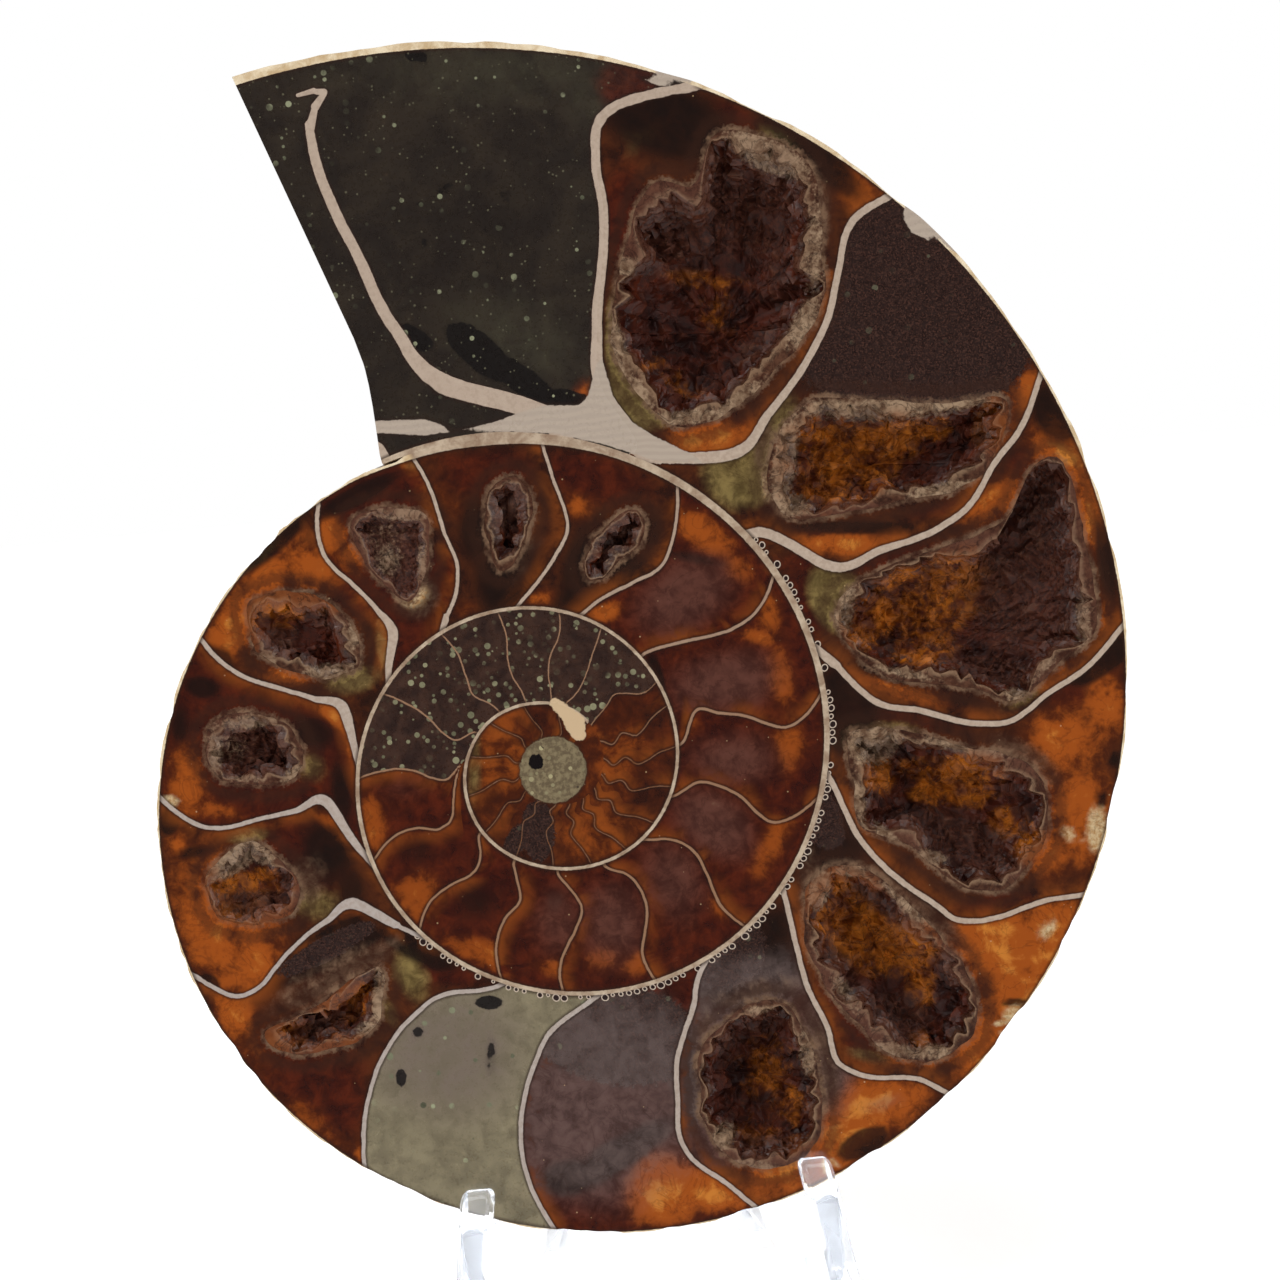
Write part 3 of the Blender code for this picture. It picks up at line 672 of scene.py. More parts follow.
NACRE = (
    ((-10.5, 33.9), (-5.5, 35.2), (-3.6, 36.0), (-1.0, 36.7), (2.4, 36.7), (3.3, 37.6), (4.4, 41.5),
     (4.7, 41.5), (5.9, 37.4), (7.5, 35.2), (10.0, 33.6), (13.5, 31.9), (15.2, 30.9), (10.0, 31.2),
     (5.0, 32.8), (0.0, 33.9), (-5.0, 34.1)),
    ((-18.4, 35.1), (-13.0, 35.3), (-11.3, 34.7), (-10.4, 34.1), (-13.0, 33.7), (-18.6, 34.0)),
    ((34.8, 56.2), (35.8, 54.2), (38.0, 53.2), (39.6, 52.3), (41.0, 51.8), (38.0, 54.8), (35.4, 57.0)),
    ((8.6, 69.9), (10.2, 68.9), (12.6, 68.9), (14.6, 68.4), (13.6, 69.6), (10.5, 70.6)),
)
nacre = np.minimum.reduce([outline_distance(x, z, corners) for corners in NACRE])
marks = np.arange(60.0, APERTURE + 10.0)
along_coil = np.interp(growth, marks, np.cumsum(wall_radius(marks - TURN)) * math.radians(1.0))
put(face.data, "edges", np.minimum(mouth, 6.0), np.clip(nacre, -3.0, 6.0), along_coil)

# %% [markdown]
# ## What filled the chambers
# Amber calcite, maroon calcite, black mud, olive silt: each chamber had its own mixture. A stain
# is a soft oval on the face, in millimetres: its mineral, middle, half length, half width, turn in
# degrees and strength. Stains stay in the chamber they are listed for, counted from the mouth.
# Odd and even chambers are stored apart, so a shader can change over exactly at a septum.

# %% stains, chamber by chamber from the mouth
MINERALS = ("amber", "olive", "maroon", "mud", "silt", "dark", "grey", "pale", "cloud")
ALL_OVER = (0, 0, 300, 300, 0, 1.0)
STAINS = {
    0: (("silt",) + ALL_OVER, ("dark", -25, 55, 3.0, 17, 25, 0.15)),
    1: (("silt",) + ALL_OVER, ("dark", -10, 54, 14, 12, 0, 0.42), ("dark", -14.5, 43.5, 2.0, 1.0, -20, 1.3),
        ("dark", -7.5, 42.0, 3.6, 1.5, -40, 1.3), ("dark", -3.0, 39.0, 4.0, 1.2, -38, 1.3),
        ("dark", 0.5, 37.4, 3.0, 0.8, -5, 1.2), ("amber", 2.9, 37.6, 1.1, 1.6, 0, 0.9),
        ("maroon", 7.5, 69.0, 3.0, 2.2, -10, 1.2), ("dark", -14, 72, 1, 0.8, 0, 1.1),
        ("cloud", -6.0, 70.5, 14, 3.5, 0, 0.55), ("cloud", -4.0, 43.5, 7, 4, -20, 0.6), ("cloud", 3, 68, 2, 3, 0, 0.5)),
    2: (("dark", 11, 65.5, 7, 3.8, -18, 1.0), ("dark", 26, 62, 7, 1.6, -40, 1.0), ("olive", 8, 63.5, 4, 2.5, 20, 0.35),
        ("maroon", 7, 55.5, 2.4, 5, 0, 1.0), ("maroon", 18, 66, 3, 1.2, -25, 0.8),
        ("olive", 8, 37.6, 3.4, 2.2, -45, 1.25), ("olive", 5.9, 43, 0.9, 5, 0, 0.9),
        ("amber", 15, 33.2, 5, 1.7, 12, 1.2), ("amber", 30.5, 58.6, 3.2, 1.8, -45, 0.85), ("amber", 28, 54, 1.0, 5, 0, 0.45),
        ("olive", 22.5, 63.5, 2.5, 1.0, -30, 0.9), ("olive", 26.5, 50, 1.0, 6, 0, 0.5),
        ("grey", 26.0, 56, 1.5, 4.5, 5, 1.1), ("grey", 25.5, 48.5, 1.2, 4.5, 0, 1.1), ("grey", 21, 62.2, 3.2, 1.3, -25, 1.2)),
    3: (("mud", 36, 48, 11, 11, 0, 1.6), ("mud", 30, 53, 4, 6, 20, 1.5), ("mud", 33, 42.5, 9, 3.0, 4, 1.5),
        ("maroon", 40, 39.4, 7, 1.3, 9, 0.9), ("dark", 30, 38.6, 6, 1.0, -3, 0.9),
        ("amber", 47.5, 38.5, 1.8, 2.6, -20, 0.9), ("amber", 29, 22.8, 6, 1.2, -3, 1.15),
        ("amber", 45.5, 34.5, 2.0, 3.2, 0, 0.55), ("olive", 19, 30, 3.6, 3.2, 20, 1.25), ("olive", 22.5, 34, 1.6, 4, -15, 0.9),
        ("dark", 30.5, 24.4, 8, 0.7, 0, 0.9), ("grey", 21.8, 30.5, 1.3, 4.5, 8, 1.2), ("pale", 21.5, 29, 1.0, 2.5, 0, 0.5),
        ("maroon", 40, 26.5, 5, 0.8, 12, 0.8)),
    4: (("maroon", 30, 21.5, 8, 1.6, 8, 1.0), ("maroon", 25, 16, 2.5, 5, 0, 0.9), ("olive", 28.3, 17.3, 2.3, 3.2, 30, 1.35),
        ("dark", 51, 36, 3, 2.6, -50, 1.2), ("amber", 51.5, 31.5, 4.5, 3.0, -50, 1.1), ("amber", 44, 27.5, 4.2, 2.2, 25, 0.9),
        ("amber", 54, 26, 2.0, 4.5, 10, 1.1), ("maroon", 47, 31, 2.4, 1.6, 30, 0.8),
        ("grey", 49.5, 27, 2.4, 3.6, 10, 0.85), ("grey", 44, 23.3, 6, 1.2, 14, 0.85), ("grey", 52.3, 21, 2.0, 4.0, 20, 0.7),
        ("dark", 55.5, 21.5, 1.0, 5, 8, 0.9), ("amber", 55.5, 15.5, 1.2, 3, 0, 0.6), ("amber", 34.5, 8.2, 5, 0.9, -18, 1.0),
        ("amber", 51, 9.5, 3.5, 1.3, 35, 0.55), ("olive", 47, 7.3, 2.5, 1.2, 30, 0.6), ("dark", 33, 9.6, 5, 0.7, -22, 0.8)),
    5: (("dark", 29, 6.5, 3.5, 4.5, -30, 1.1), ("dark", 55, 11.0, 3.5, 1.4, 35, 1.2), ("maroon", 34, 5.3, 8, 1.2, -8, 0.7),
        ("olive", 32.5, 3.5, 4.0, 1.3, 5, 0.9), ("amber", 51, 2.5, 4.0, 4.0, 0, 1.0), ("amber", 55.5, 7, 2, 4, 0, 1.0),
        ("amber", 53, -4.5, 3.6, 5.5, 10, 1.0), ("maroon", 51.5, 7.5, 2.5, 1.5, 0, 0.9), ("amber", 49.5, -8, 2.4, 3, 10, 1.0),
        ("maroon", 51, -2.5, 2.0, 1.5, 0, 0.9), ("grey", 47.5, 1.0, 4.0, 1.6, -30, 0.8), ("pale", 54.6, -6.0, 1.0, 2.2, 0, 1.15),
        ("pale", 51.7, -6.4, 0.8, 1.0, 30, 0.8), ("amber", 31.5, -8.0, 2.4, 0.7, -45, 1.0), ("maroon", 44, -13.5, 5, 1.1, 12, 0.8),
        ("grey", 43, -11.6, 3.5, 0.9, -5, 0.9), ("dark", 56.6, 1.0, 0.8, 1.0, 0, 1.0), ("dark", 55, -3, 0.7, 1.2, 0, 0.9)),
    6: (("dark", 27, -5.5, 3.5, 4.5, 30, 1.4), ("mud", 26.5, -4.5, 2.0, 3.5, 30, 1.2), ("amber", 45, -17, 5.5, 4.0, -10, 1.25),
        ("amber", 50, -17, 3.5, 4.5, -20, 1.2), ("amber", 47, -23, 4, 4, -45, 1.0), ("amber", 43, -28, 4.5, 4, -45, 1.0),
        ("grey", 36.5, -13.8, 5.5, 1.3, -40, 1.0), ("grey", 26, -13, 1.3, 4.0, 5, 0.9), ("grey", 30, -9.8, 3.0, 0.9, -8, 0.8),
        ("maroon", 41.5, -17, 1.5, 3.0, 30, 0.7), ("maroon", 29, -25, 2.0, 5.5, 35, 0.9), ("maroon", 42, -20, 2, 3, 20, 0.6),
        ("pale", 49.5, -16.2, 0.7, 1.4, -35, 0.8), ("pale", 46.2, -24.6, 1.0, 0.7, 30, 1.0), ("pale", 44.9, -25.7, 0.3, 0.8, 0, 1.1),
        ("dark", 46.3, -23.4, 1.3, 0.5, 0, 0.9), ("olive", 31.5, -28.8, 3.0, 0.9, -15, 0.5), ("amber", 36, -29.4, 6, 0.8, 0, 0.6)),
    7: (("cloud", 15.5, -29, 3.0, 9, 0, 1.1), ("cloud", 27, -28, 2.6, 6, 5, 1.0), ("cloud", 21, -21.5, 7, 2.6, 12, 1.0),
        ("dark", 20, -19, 7, 4, 30, 1.1), ("mud", 17, -18, 4, 4, 30, 1.1), ("grey", 20, -22.5, 5.5, 1.5, 12, 0.6),
        ("grey", 26.5, -30, 1.8, 5.0, 5, 1.0), ("grey", 15.5, -30, 1.6, 5.5, 0, 0.75), ("dark", 13.8, -31, 1.0, 7, 0, 0.7),
        ("amber", 32, -34, 5.5, 3.0, 25, 1.25), ("amber", 28.5, -37, 2.6, 5.5, -20, 1.2), ("amber", 24, -39.5, 5.5, 2.6, 30, 1.1),
        ("amber", 17, -42.3, 4.0, 1.4, -28, 0.8), ("maroon", 15, -37.5, 1.6, 2.5, 30, 0.7), ("dark", 31, -37.6, 2.6, 1.1, 28, 1.3),
        ("pale", 28, -39.6, 0.7, 0.4, 20, 1.1), ("pale", 27.3, -40.6, 0.3, 0.8, -20, 1.0), ("cloud", 33, -33.6, 2.0, 0.8, 20, 0.6)),
    8: (("mud", 6, -26.5, 8, 4.5, -10, 1.3), ("cloud", 4.5, -33, 9, 8, 10, 1.5), ("maroon",) + ALL_OVER,
        ("dark", 6.5, -38.7, 6.0, 1.6, 32, 1.05), ("dark", 1.5, -41, 3, 1.8, 10, 1.0), ("dark", 11.5, -27, 0.9, 6, 5, 0.8),
        ("amber", 11, -42, 3.5, 3.8, 35, 1.25), ("amber", 15.5, -42.2, 4.5, 2.2, -12, 1.2), ("maroon", 5.5, -43.5, 4.5, 1.5, 15, 0.9),
        ("maroon", 7.5, -41.5, 1.8, 1.8, 45, 0.7)),
    9: (("silt",) + ALL_OVER, ("olive",) + ALL_OVER[:5] + (0.85,),
        ("cloud", -11, -28.5, 7.0, 6, 0, 1.0), ("dark", -6.7, -23.4, 1.2, 0.6, 0, 1.2), ("dark", -15.5, -31, 0.5, 0.8, 0, 1.2),
        ("dark", -6.5, -29, 0.9, 3, -4, 0.5), ("maroon", -3, -43, 3, 1.5, -20, 0.6), ("dark", -13.8, -26.4, 0.7, 0.7, 0, 0.7)),
    10: (("maroon", -26, -31, 8, 5, -40, 0.7), ("amber", -32.5, -24.5, 1.8, 2.6, 20, 1.1), ("amber", -30, -29, 3, 2.2, -50, 0.45),
         ("dark", -22, -17.5, 7, 1.8, 28, 1.3), ("mud", -23, -18.0, 6, 1.3, 28, 0.9), ("dark", -14, -17.8, 4.5, 1.3, -28, 1.1),
         ("grey", -22, -20.6, 6.0, 1.5, 28, 1.0), ("olive", -14.5, -20.5, 1.6, 3.2, 20, 0.75), ("olive", -17, -24, 1.0, 3, 30, 0.5),
         ("maroon", -11, -20.5, 4, 1.2, -10, 0.9), ("amber", -18.3, -15.1, 2.2, 0.7, -25, 1.15), ("amber", -24, -36, 6, 1.5, -38, 0.5),
         ("maroon", -21.5, -33, 3, 5, 0, 0.8), ("amber", -19.6, -38.5, 1, 1.5, 0, 0.8)),
    11: (("amber", -33, -15.5, 5.5, 8, 15, 0.98), ("amber", -30.5, -19.5, 3.5, 3.0, 20, 1.0), ("maroon", -27.5, -7, 6, 2.5, -5, 0.8),
         ("dark", -23, -8, 3.5, 3.5, 0, 0.8), ("dark", -36.5, -8.3, 2.5, 0.8, 10, 0.7), ("olive", -24, -13.5, 3.6, 2.0, -10, 0.6),
         ("grey", -25, -11, 2.2, 2.6, -20, 0.75), ("dark", -20.5, -12, 2.0, 3.0, 0, 0.6), ("amber", -22.3, -5.6, 2.0, 0.8, -35, 1.1),
         ("olive", -31, -6.6, 2.0, 0.7, 8, 1.1), ("amber", -31, -6.7, 2.0, 0.6, 8, 0.7), ("dark", -38.8, -5.2, 0.9, 1.3, 0, 1.2),
         ("maroon", -34, -21, 3.5, 0.8, -25, 0.5), ("amber", -38, -7.5, 1.2, 1.6, 0, 0.9), ("dark", -35, -21.5, 1.2, 1.0, -40, 1.1)),
    12: (("maroon",) + ALL_OVER, ("amber", -37, -1.5, 2.2, 4.2, 10, 0.85), ("amber", -34, -4.0, 3, 1.2, -15, 0.6),
         ("dark", -35.5, 8.3, 2.0, 1.2, -10, 0.9), ("dark", -24.5, 3.8, 3.0, 2.0, -25, 0.75), ("dark", -21.5, -2.5, 1.3, 5.0, 5, 0.7),
         ("amber", -22.0, 5.2, 2.6, 0.8, -38, 1.15), ("amber", -20.6, 2.8, 0.5, 2.0, 0, 0.8), ("olive", -24.6, 0.4, 1.8, 1.8, 0, 0.55),
         ("dark", -37.8, 4.5, 1.2, 2.5, 0, 0.7), ("grey", -33.5, 2.0, 1.4, 2.4, 0, 0.5), ("pale", -38.9, -3.2, 1.0, 0.5, 0, 1.2)),
    13: (("amber", -32.5, 14.5, 2.0, 4.5, -20, 1.15), ("amber", -29, 19.5, 3.5, 2.0, 35, 1.0), ("amber", -24.5, 20.5, 3.5, 2.0, -20, 1.05),
         ("amber", -27, 22.5, 3.5, 1.2, 40, 0.6), ("dark", -28, 23.5, 5, 1.2, 45, 1.1), ("dark", -34.5, 10.5, 2.0, 1.8, 0, 1.2),
         ("olive", -20.5, 9.2, 3.0, 1.6, 5, 0.75), ("olive", -30, 21.3, 3.0, 0.8, 42, 0.6), ("maroon", -20, 17.5, 3.5, 1.8, -40, 0.9),
         ("amber", -17.2, 12.5, 0.8, 3.2, 5, 0.9), ("olive", -17.4, 12.5, 0.7, 3, 5, 0.7), ("amber", -27, 9.6, 3, 1.0, -10, 0.8),
         ("dark", -18.5, 7.0, 1.5, 1.2, 0, 0.6)),
    14: (("maroon",) + ALL_OVER, ("amber", -22.6, 23.8, 1.8, 2.0, 0, 1.15), ("amber", -20.5, 21.5, 2.4, 1.6, -30, 0.85),
         ("dark", -20, 27.6, 5, 1.0, 28, 1.0), ("dark", -13.5, 18, 2.2, 4.5, 15, 0.6), ("amber", -14.6, 30.9, 1.2, 0.7, 10, 0.8),
         ("olive", -14.2, 30.8, 1.0, 0.6, 10, 0.8), ("dark", -12.5, 24, 1.5, 3.5, 5, 0.7), ("pale", -14.2, 17.4, 1.4, 1.3, 0, 0.75),
         ("grey", -13.9, 17.3, 1.9, 1.9, 0, 1.0), ("grey", -13.2, 22.0, 0.5, 4.2, 8, 0.6), ("amber", -9.6, 17.5, 0.7, 3, 15, 0.7)),
    15: (("dark", -4.5, 19, 3.6, 4.5, 0, 0.95), ("dark", -8, 24, 2.0, 4.0, 0, 0.75), ("maroon", -7, 30, 5, 2.5, 5, 0.9),
         ("amber", -10.6, 27, 2.5, 1.0, -50, 0.5), ("grey", -4.7, 24, 3.4, 6.0, 0, 0.4), ("maroon", -10, 31.4, 4, 0.8, 5, 0.6),
         ("amber", -9.0, 16.2, 1.5, 1.0, 20, 0.5)),
    16: (("maroon", 4, 29.5, 6, 2.6, -15, 0.9), ("dark", 5, 18.2, 5, 3.0, 30, 1.1), ("dark", 9.5, 24.0, 2.0, 3, 0, 0.6),
         ("amber", 2.0, 26.5, 1.4, 1.8, 40, 0.7), ("amber", -1.5, 17.2, 1.6, 0.9, 20, 0.85), ("dark", 2.3, 21, 1.5, 4, -20, 0.8),
         ("amber", 3, 19.8, 1.0, 0.8, 20, 0.5)),
    17: (("maroon",) + ALL_OVER, ("cloud", 13, 17.5, 4.5, 3.0, 30, 1.0), ("amber", 14.5, 24.3, 4.0, 1.6, -35, 0.95),
         ("amber", 5.0, 15.9, 1.8, 0.9, 15, 1.0), ("amber", 18.5, 20.5, 2.0, 1.5, -50, 0.6), ("dark", 14, 21.3, 4.5, 0.7, -12, 0.6)),
    18: (("maroon",) + ALL_OVER, ("cloud", 17, 8.8, 4.8, 2.6, 10, 1.0), ("amber", 21.5, 16.3, 1.4, 2.6, 10, 0.8),
         ("amber", 22.8, 9, 1.5, 4.0, 5, 0.7), ("dark", 10.2, 9.5, 0.8, 2.8, 15, 0.9), ("amber", 20.5, 13.4, 2.5, 0.8, -15, 0.7)),
    19: (("maroon",) + ALL_OVER, ("cloud", 18, 1, 4.2, 2.4, 0, 0.8), ("amber", 12.5, 4.5, 2.0, 1.0, 0, 0.8),
         ("amber", 23.5, 3.0, 1.6, 3.5, 0, 0.85)),
    20: (("maroon",) + ALL_OVER, ("cloud", 16, -5.5, 4.0, 2.6, -35, 1.0), ("amber", 22, -7, 1.6, 4.0, -25, 0.9)),
    21: (("maroon",) + ALL_OVER, ("cloud", 12, -11, 3.0, 4.0, 20, 0.7), ("amber", 17.8, -13.0, 2.2, 1.8, 45, 1.0)),
    22: (("maroon",) + ALL_OVER, ("cloud", 6, -15.5, 3.2, 4.0, 10, 0.8), ("amber", 9.5, -19, 3.0, 1.2, 22, 1.1), ("amber", 5, -19, 2.5, 1.6, 10, 0.6)),
    23: (("maroon",) + ALL_OVER, ("cloud", 0.5, -15.5, 2.5, 3.6, 0, 0.6), ("amber", 2, -20, 3.5, 1.0, -5, 1.1), ("dark", 0, -13, 1.5, 2, 0, 0.5)),
    24: (("maroon",) + ALL_OVER, ("dark", -8, -13, 3, 2.5, 10, 0.6), ("amber", -6, -19, 4, 1.4, -20, 1.0), ("amber", -8.5, -18.4, 3, 1.0, -25, 0.8)),
    25: (("maroon",) + ALL_OVER, ("dark", -14, -8, 3, 2.5, 20, 0.5), ("amber", -14.0, -13, 2.5, 2.6, -40, 0.95)),
    26: (("maroon",) + ALL_OVER, ("amber", -18.5, -5.5, 1.4, 3.0, 10, 0.95), ("cloud", -15, -1.5, 3, 1.5, 0, 0.3)),
}
for n in range(27, 33):
    STAINS[n] = (("mud",) + ALL_OVER, ("maroon", -3, 9, 3, 3, 0, 0.8))
for n in range(33, 60):
    STAINS[n] = (("maroon", 0, 9, 30, 30, 0, 0.5), ("amber", -5.5, 1.5, 3.5, 8, 5, 0.68), ("amber", 6, 2, 4.0, 7, -10, 0.55),
                 ("amber", 4, -7, 5, 3.5, 20, 0.62), ("mud", -1.7, -6.2, 1.8, 3.2, 4, 0.95), ("mud", -3.8, -7.0, 1.2, 2.0, -30, 0.9),
                 ("olive", -8.2, 1, 1.0, 5, 0, 0.6))



def oval_field(x, z, u, v, long_half, wide_half, turned, strength):
    """A soft oval: full strength in its middle, fading past its edge."""
    turn = math.radians(turned)
    du, dv = x - u, z - v
    along_it = (du * math.cos(turn) + dv * math.sin(turn)) / long_half
    across_it = (dv * math.cos(turn) - du * math.sin(turn)) / wide_half
    return strength * np.clip(1.25 - 0.75 * np.hypot(along_it, across_it), 0.0, 1.0)


fields = {even: np.zeros((len(MINERALS), len(x))) for even in (0, 1)}
for chamber, stains in STAINS.items():
    index = LAST_SEPTUM - chamber
    near = abs(value - (index + 0.5)) < 1.6
    for mineral, u, v, long_half, wide_half, turned, strength in stains:
        amount = oval_field(x[near], z[near], u, v, long_half, wide_half, turned, strength)
        row = fields[index % 2][MINERALS.index(mineral)]
        row[near] = np.maximum(row[near], amount * (abs(value[near] - (index + 0.5)) < 1.4))
for even in (0, 1):
    for part in range(3):
        put(face.data, f"fill_{even}_{part}", *fields[even][3 * part:3 * part + 3])
print("stains:", sum(len(s) for s in STAINS.values()))

# %% [markdown]
# ## Small tools for materials
# A material here is a chain of masks and colours. These helpers add one node at a time, and the
# three groups below are effects that finishes share: a stain with a ragged edge, round grains of
# many sizes, and a short straight stroke that narrows to its end.

# %% node helpers
def colour(red, green, blue):
    """A colour as seen on a screen, 0 to 255, as the linear numbers a shader takes."""
    return tuple((c / 12.92 if c <= 0.04045 else ((c + 0.055) / 1.055) ** 2.4) for c in (red / 255, green / 255, blue / 255)) + (1.0,)


def add_node(tree, kind, inputs=None, **settings):
    """Adds a node; inputs go by name or number, each a value or a socket to link from."""
    made = tree.nodes.new("ShaderNode" + kind)
    for name, setting in settings.items():
        setattr(made, name, setting)
    for name, given in (inputs or {}).items():
        if isinstance(given, bpy.types.NodeSocket):
            tree.links.new(given, made.inputs[name])
        else:
            made.inputs[name].default_value = given
    return made


def calc(tree, operation, *values, clamp=False):
    return add_node(tree, "Math", dict(enumerate(values)), operation=operation, use_clamp=clamp).outputs[0]


def ease(tree, value, low, high, out_low=0.0, out_high=1.0):
    """Rises smoothly from out_low to out_high while value goes from low to high."""
    return add_node(tree, "MapRange", {0: value, 1: low, 2: high, 3: out_low, 4: out_high},
                    interpolation_type="SMOOTHSTEP").outputs[0]


def blend(tree, mask, under, over, kind="MIX"):
    return add_node(tree, "Mix", {0: mask, 6: under, 7: over}, data_type="RGBA", blend_type=kind).outputs[2]


def cloud(tree, place, size, detail=3.0, roughness=0.55, stretch=0.0):
    """Smooth random numbers round 0.5, whose blotches are size millimetres across."""
    return add_node(tree, "TexNoise", {"Vector": place, "Scale": 1.0 / (size * MM), "Detail": detail,
                                       "Roughness": roughness, "Distortion": stretch}).outputs["Fac"]


def stored(tree, name):
    """The three numbers that the mesh's corners carry under this name."""
    attribute = add_node(tree, "Attribute", attribute_name=name)
    return add_node(tree, "SeparateXYZ", {0: attribute.outputs["Vector"]}).outputs


def start_group(name, takes, gives):
    """A node group with these inputs (name to default) and outputs."""
    group = bpy.data.node_groups.new(name, "ShaderNodeTree")
    for title, default in takes.items():
        kind = "NodeSocketVector" if default is None else "NodeSocketFloat"
        socket = group.interface.new_socket(name=title, in_out="INPUT", socket_type=kind)
        if default is not None:
            socket.default_value = default
    for title in gives:
        group.interface.new_socket(name=title, in_out="OUTPUT", socket_type="NodeSocketFloat")
    return group, group.nodes.new("NodeGroupInput").outputs, group.nodes.new("NodeGroupOutput").inputs


def use_group(tree, group, **inputs):
    made = tree.nodes.new("ShaderNodeGroup")
    made.node_tree = group
    for title, given in inputs.items():
        if isinstance(given, bpy.types.NodeSocket):
            tree.links.new(given, made.inputs[title])
        else:
            made.inputs[title].default_value = given
    return made.outputs


def new_material(name):
    made = bpy.data.materials.new(name)
    made.use_nodes = True
    tree = made.node_tree
    place = tree.nodes.new("ShaderNodeTexCoord").outputs["Object"]
    return made, tree, place, tree.nodes["Principled BSDF"]


# %% shared effects
stain_group, taken, given = start_group("ragged_stain", {"Field": 0.0, "Noise": 0.5, "Raggedness": 0.5, "Softness": 0.1}, ["Mask"])
ragged = calc(stain_group, "MULTIPLY_ADD", calc(stain_group, "SUBTRACT", taken["Noise"], 0.5), taken["Raggedness"], taken["Field"])
stain_group.links.new(ease(stain_group, ragged, calc(stain_group, "SUBTRACT", 0.5, taken["Softness"]),
                           calc(stain_group, "ADD", 0.5, taken["Softness"])), given["Mask"])

grain_group, taken, given = start_group("round_grains", {"Place": None, "Size": 1.0, "Share": 0.3, "Radius": 0.4}, ["Mask", "Tone", "Ring"])
cells = add_node(grain_group, "TexVoronoi", {"Vector": taken["Place"], "Scale": calc(grain_group, "DIVIDE", 1.0 / MM, taken["Size"])})
lot = add_node(grain_group, "SeparateXYZ", {0: cells.outputs["Color"]}).outputs
present = calc(grain_group, "LESS_THAN", lot[0], taken["Share"])
reach = calc(grain_group, "MULTIPLY", taken["Radius"], calc(grain_group, "MULTIPLY_ADD", lot[1], 0.6, 0.4))
inside = calc(grain_group, "SUBTRACT", reach, cells.outputs["Distance"])
grain_group.links.new(calc(grain_group, "MULTIPLY", present, ease(grain_group, inside, 0.0, 0.06)), given["Mask"])
grain_group.links.new(lot[2], given["Tone"])
ring = calc(grain_group, "MULTIPLY", ease(grain_group, inside, 0.0, 0.05), ease(grain_group, inside, 0.1, 0.17, 1.0, 0.0))
grain_group.links.new(calc(grain_group, "MULTIPLY", present, ring), given["Ring"])
stroke_group, taken, given = start_group("stroke", {"Place": None, "Start": None, "Reach": None, "Half": 0.5}, ["Outside"])
from_start = add_node(stroke_group, "VectorMath", {0: taken["Place"], 1: taken["Start"]}, operation="SUBTRACT").outputs[0]
covered = add_node(stroke_group, "VectorMath", {0: from_start, 1: taken["Reach"]}, operation="DOT_PRODUCT").outputs["Value"]
whole = add_node(stroke_group, "VectorMath", {0: taken["Reach"], 1: taken["Reach"]}, operation="DOT_PRODUCT").outputs["Value"]
portion = calc(stroke_group, "DIVIDE", covered, whole, clamp=True)
closest = add_node(stroke_group, "VectorMath", {0: taken["Reach"], "Scale": portion}, operation="SCALE").outputs[0]
away = add_node(stroke_group, "VectorMath", {0: from_start, 1: closest}, operation="DISTANCE").outputs["Value"]
taper = calc(stroke_group, "MULTIPLY", taken["Half"], calc(stroke_group, "MULTIPLY_ADD", portion, -0.35, 1.0))
stroke_group.links.new(calc(stroke_group, "SUBTRACT", calc(stroke_group, "MULTIPLY", away, 1.0 / MM), taper), given["Outside"])
print("shared groups:", stain_group.name, grain_group.name, stroke_group.name)

# %% [markdown]
# ## The polished section
# Sawn and polished, the section shows what filled each chamber: amber and maroon calcite with
# cloudy patches, black mud, olive silt with round grains, grey crystal crust round the hollows.
# Over them lie the septa as thin cream lines with a dark edge and an amber glow on their younger
# side. Layers of colour are laid over each other in that order, each with its own ragged mask.

# %% minerals of the section
section, tree, place, shader = new_material("polished_section")
wide = cloud(tree, place, 5.0, 4.0, 0.6, 0.6)
middling = cloud(tree, place, 1.6, 5.0, 0.62, 0.4)
fine = cloud(tree, place, 0.45, 3.0, 0.6)
dust = cloud(tree, place, 0.16, 2.0, 0.6)

phase, slope, half = stored(tree, "growth_line")
index = calc(tree, "FLOOR", phase)
odd = calc(tree, "MODULO", index, 2.0)
fills = {}
for part in range(3):
    even_place = add_node(tree, "Attribute", attribute_name=f"fill_0_{part}").outputs["Vector"]
    odd_place = add_node(tree, "Attribute", attribute_name=f"fill_1_{part}").outputs["Vector"]
    chosen = add_node(tree, "Mix", {0: odd, 4: even_place, 5: odd_place}, data_type="VECTOR").outputs[1]
    parts = add_node(tree, "SeparateXYZ", {0: chosen}).outputs
    for mineral, socket in zip(MINERALS[3 * part:3 * part + 3], parts):
        fills[mineral] = socket


def stain(mineral, noise_value, raggedness, softness):
    return use_group(tree, stain_group, Field=fills[mineral], Noise=noise_value, Raggedness=raggedness,
                     Softness=softness)["Mask"]


mixed = calc(tree, "MULTIPLY_ADD", middling, 0.5, calc(tree, "MULTIPLY", wide, 0.5))
seen = blend(tree, ease(tree, mixed, 0.36, 0.64), colour(42, 17, 9), colour(84, 40, 17))

silt = stain("silt", wide, 0.1, 0.05)
silt_tone = blend(tree, ease(tree, wide, 0.35, 0.7), colour(33, 25, 20), colour(47, 38, 29))
seen = blend(tree, silt, seen, silt_tone)

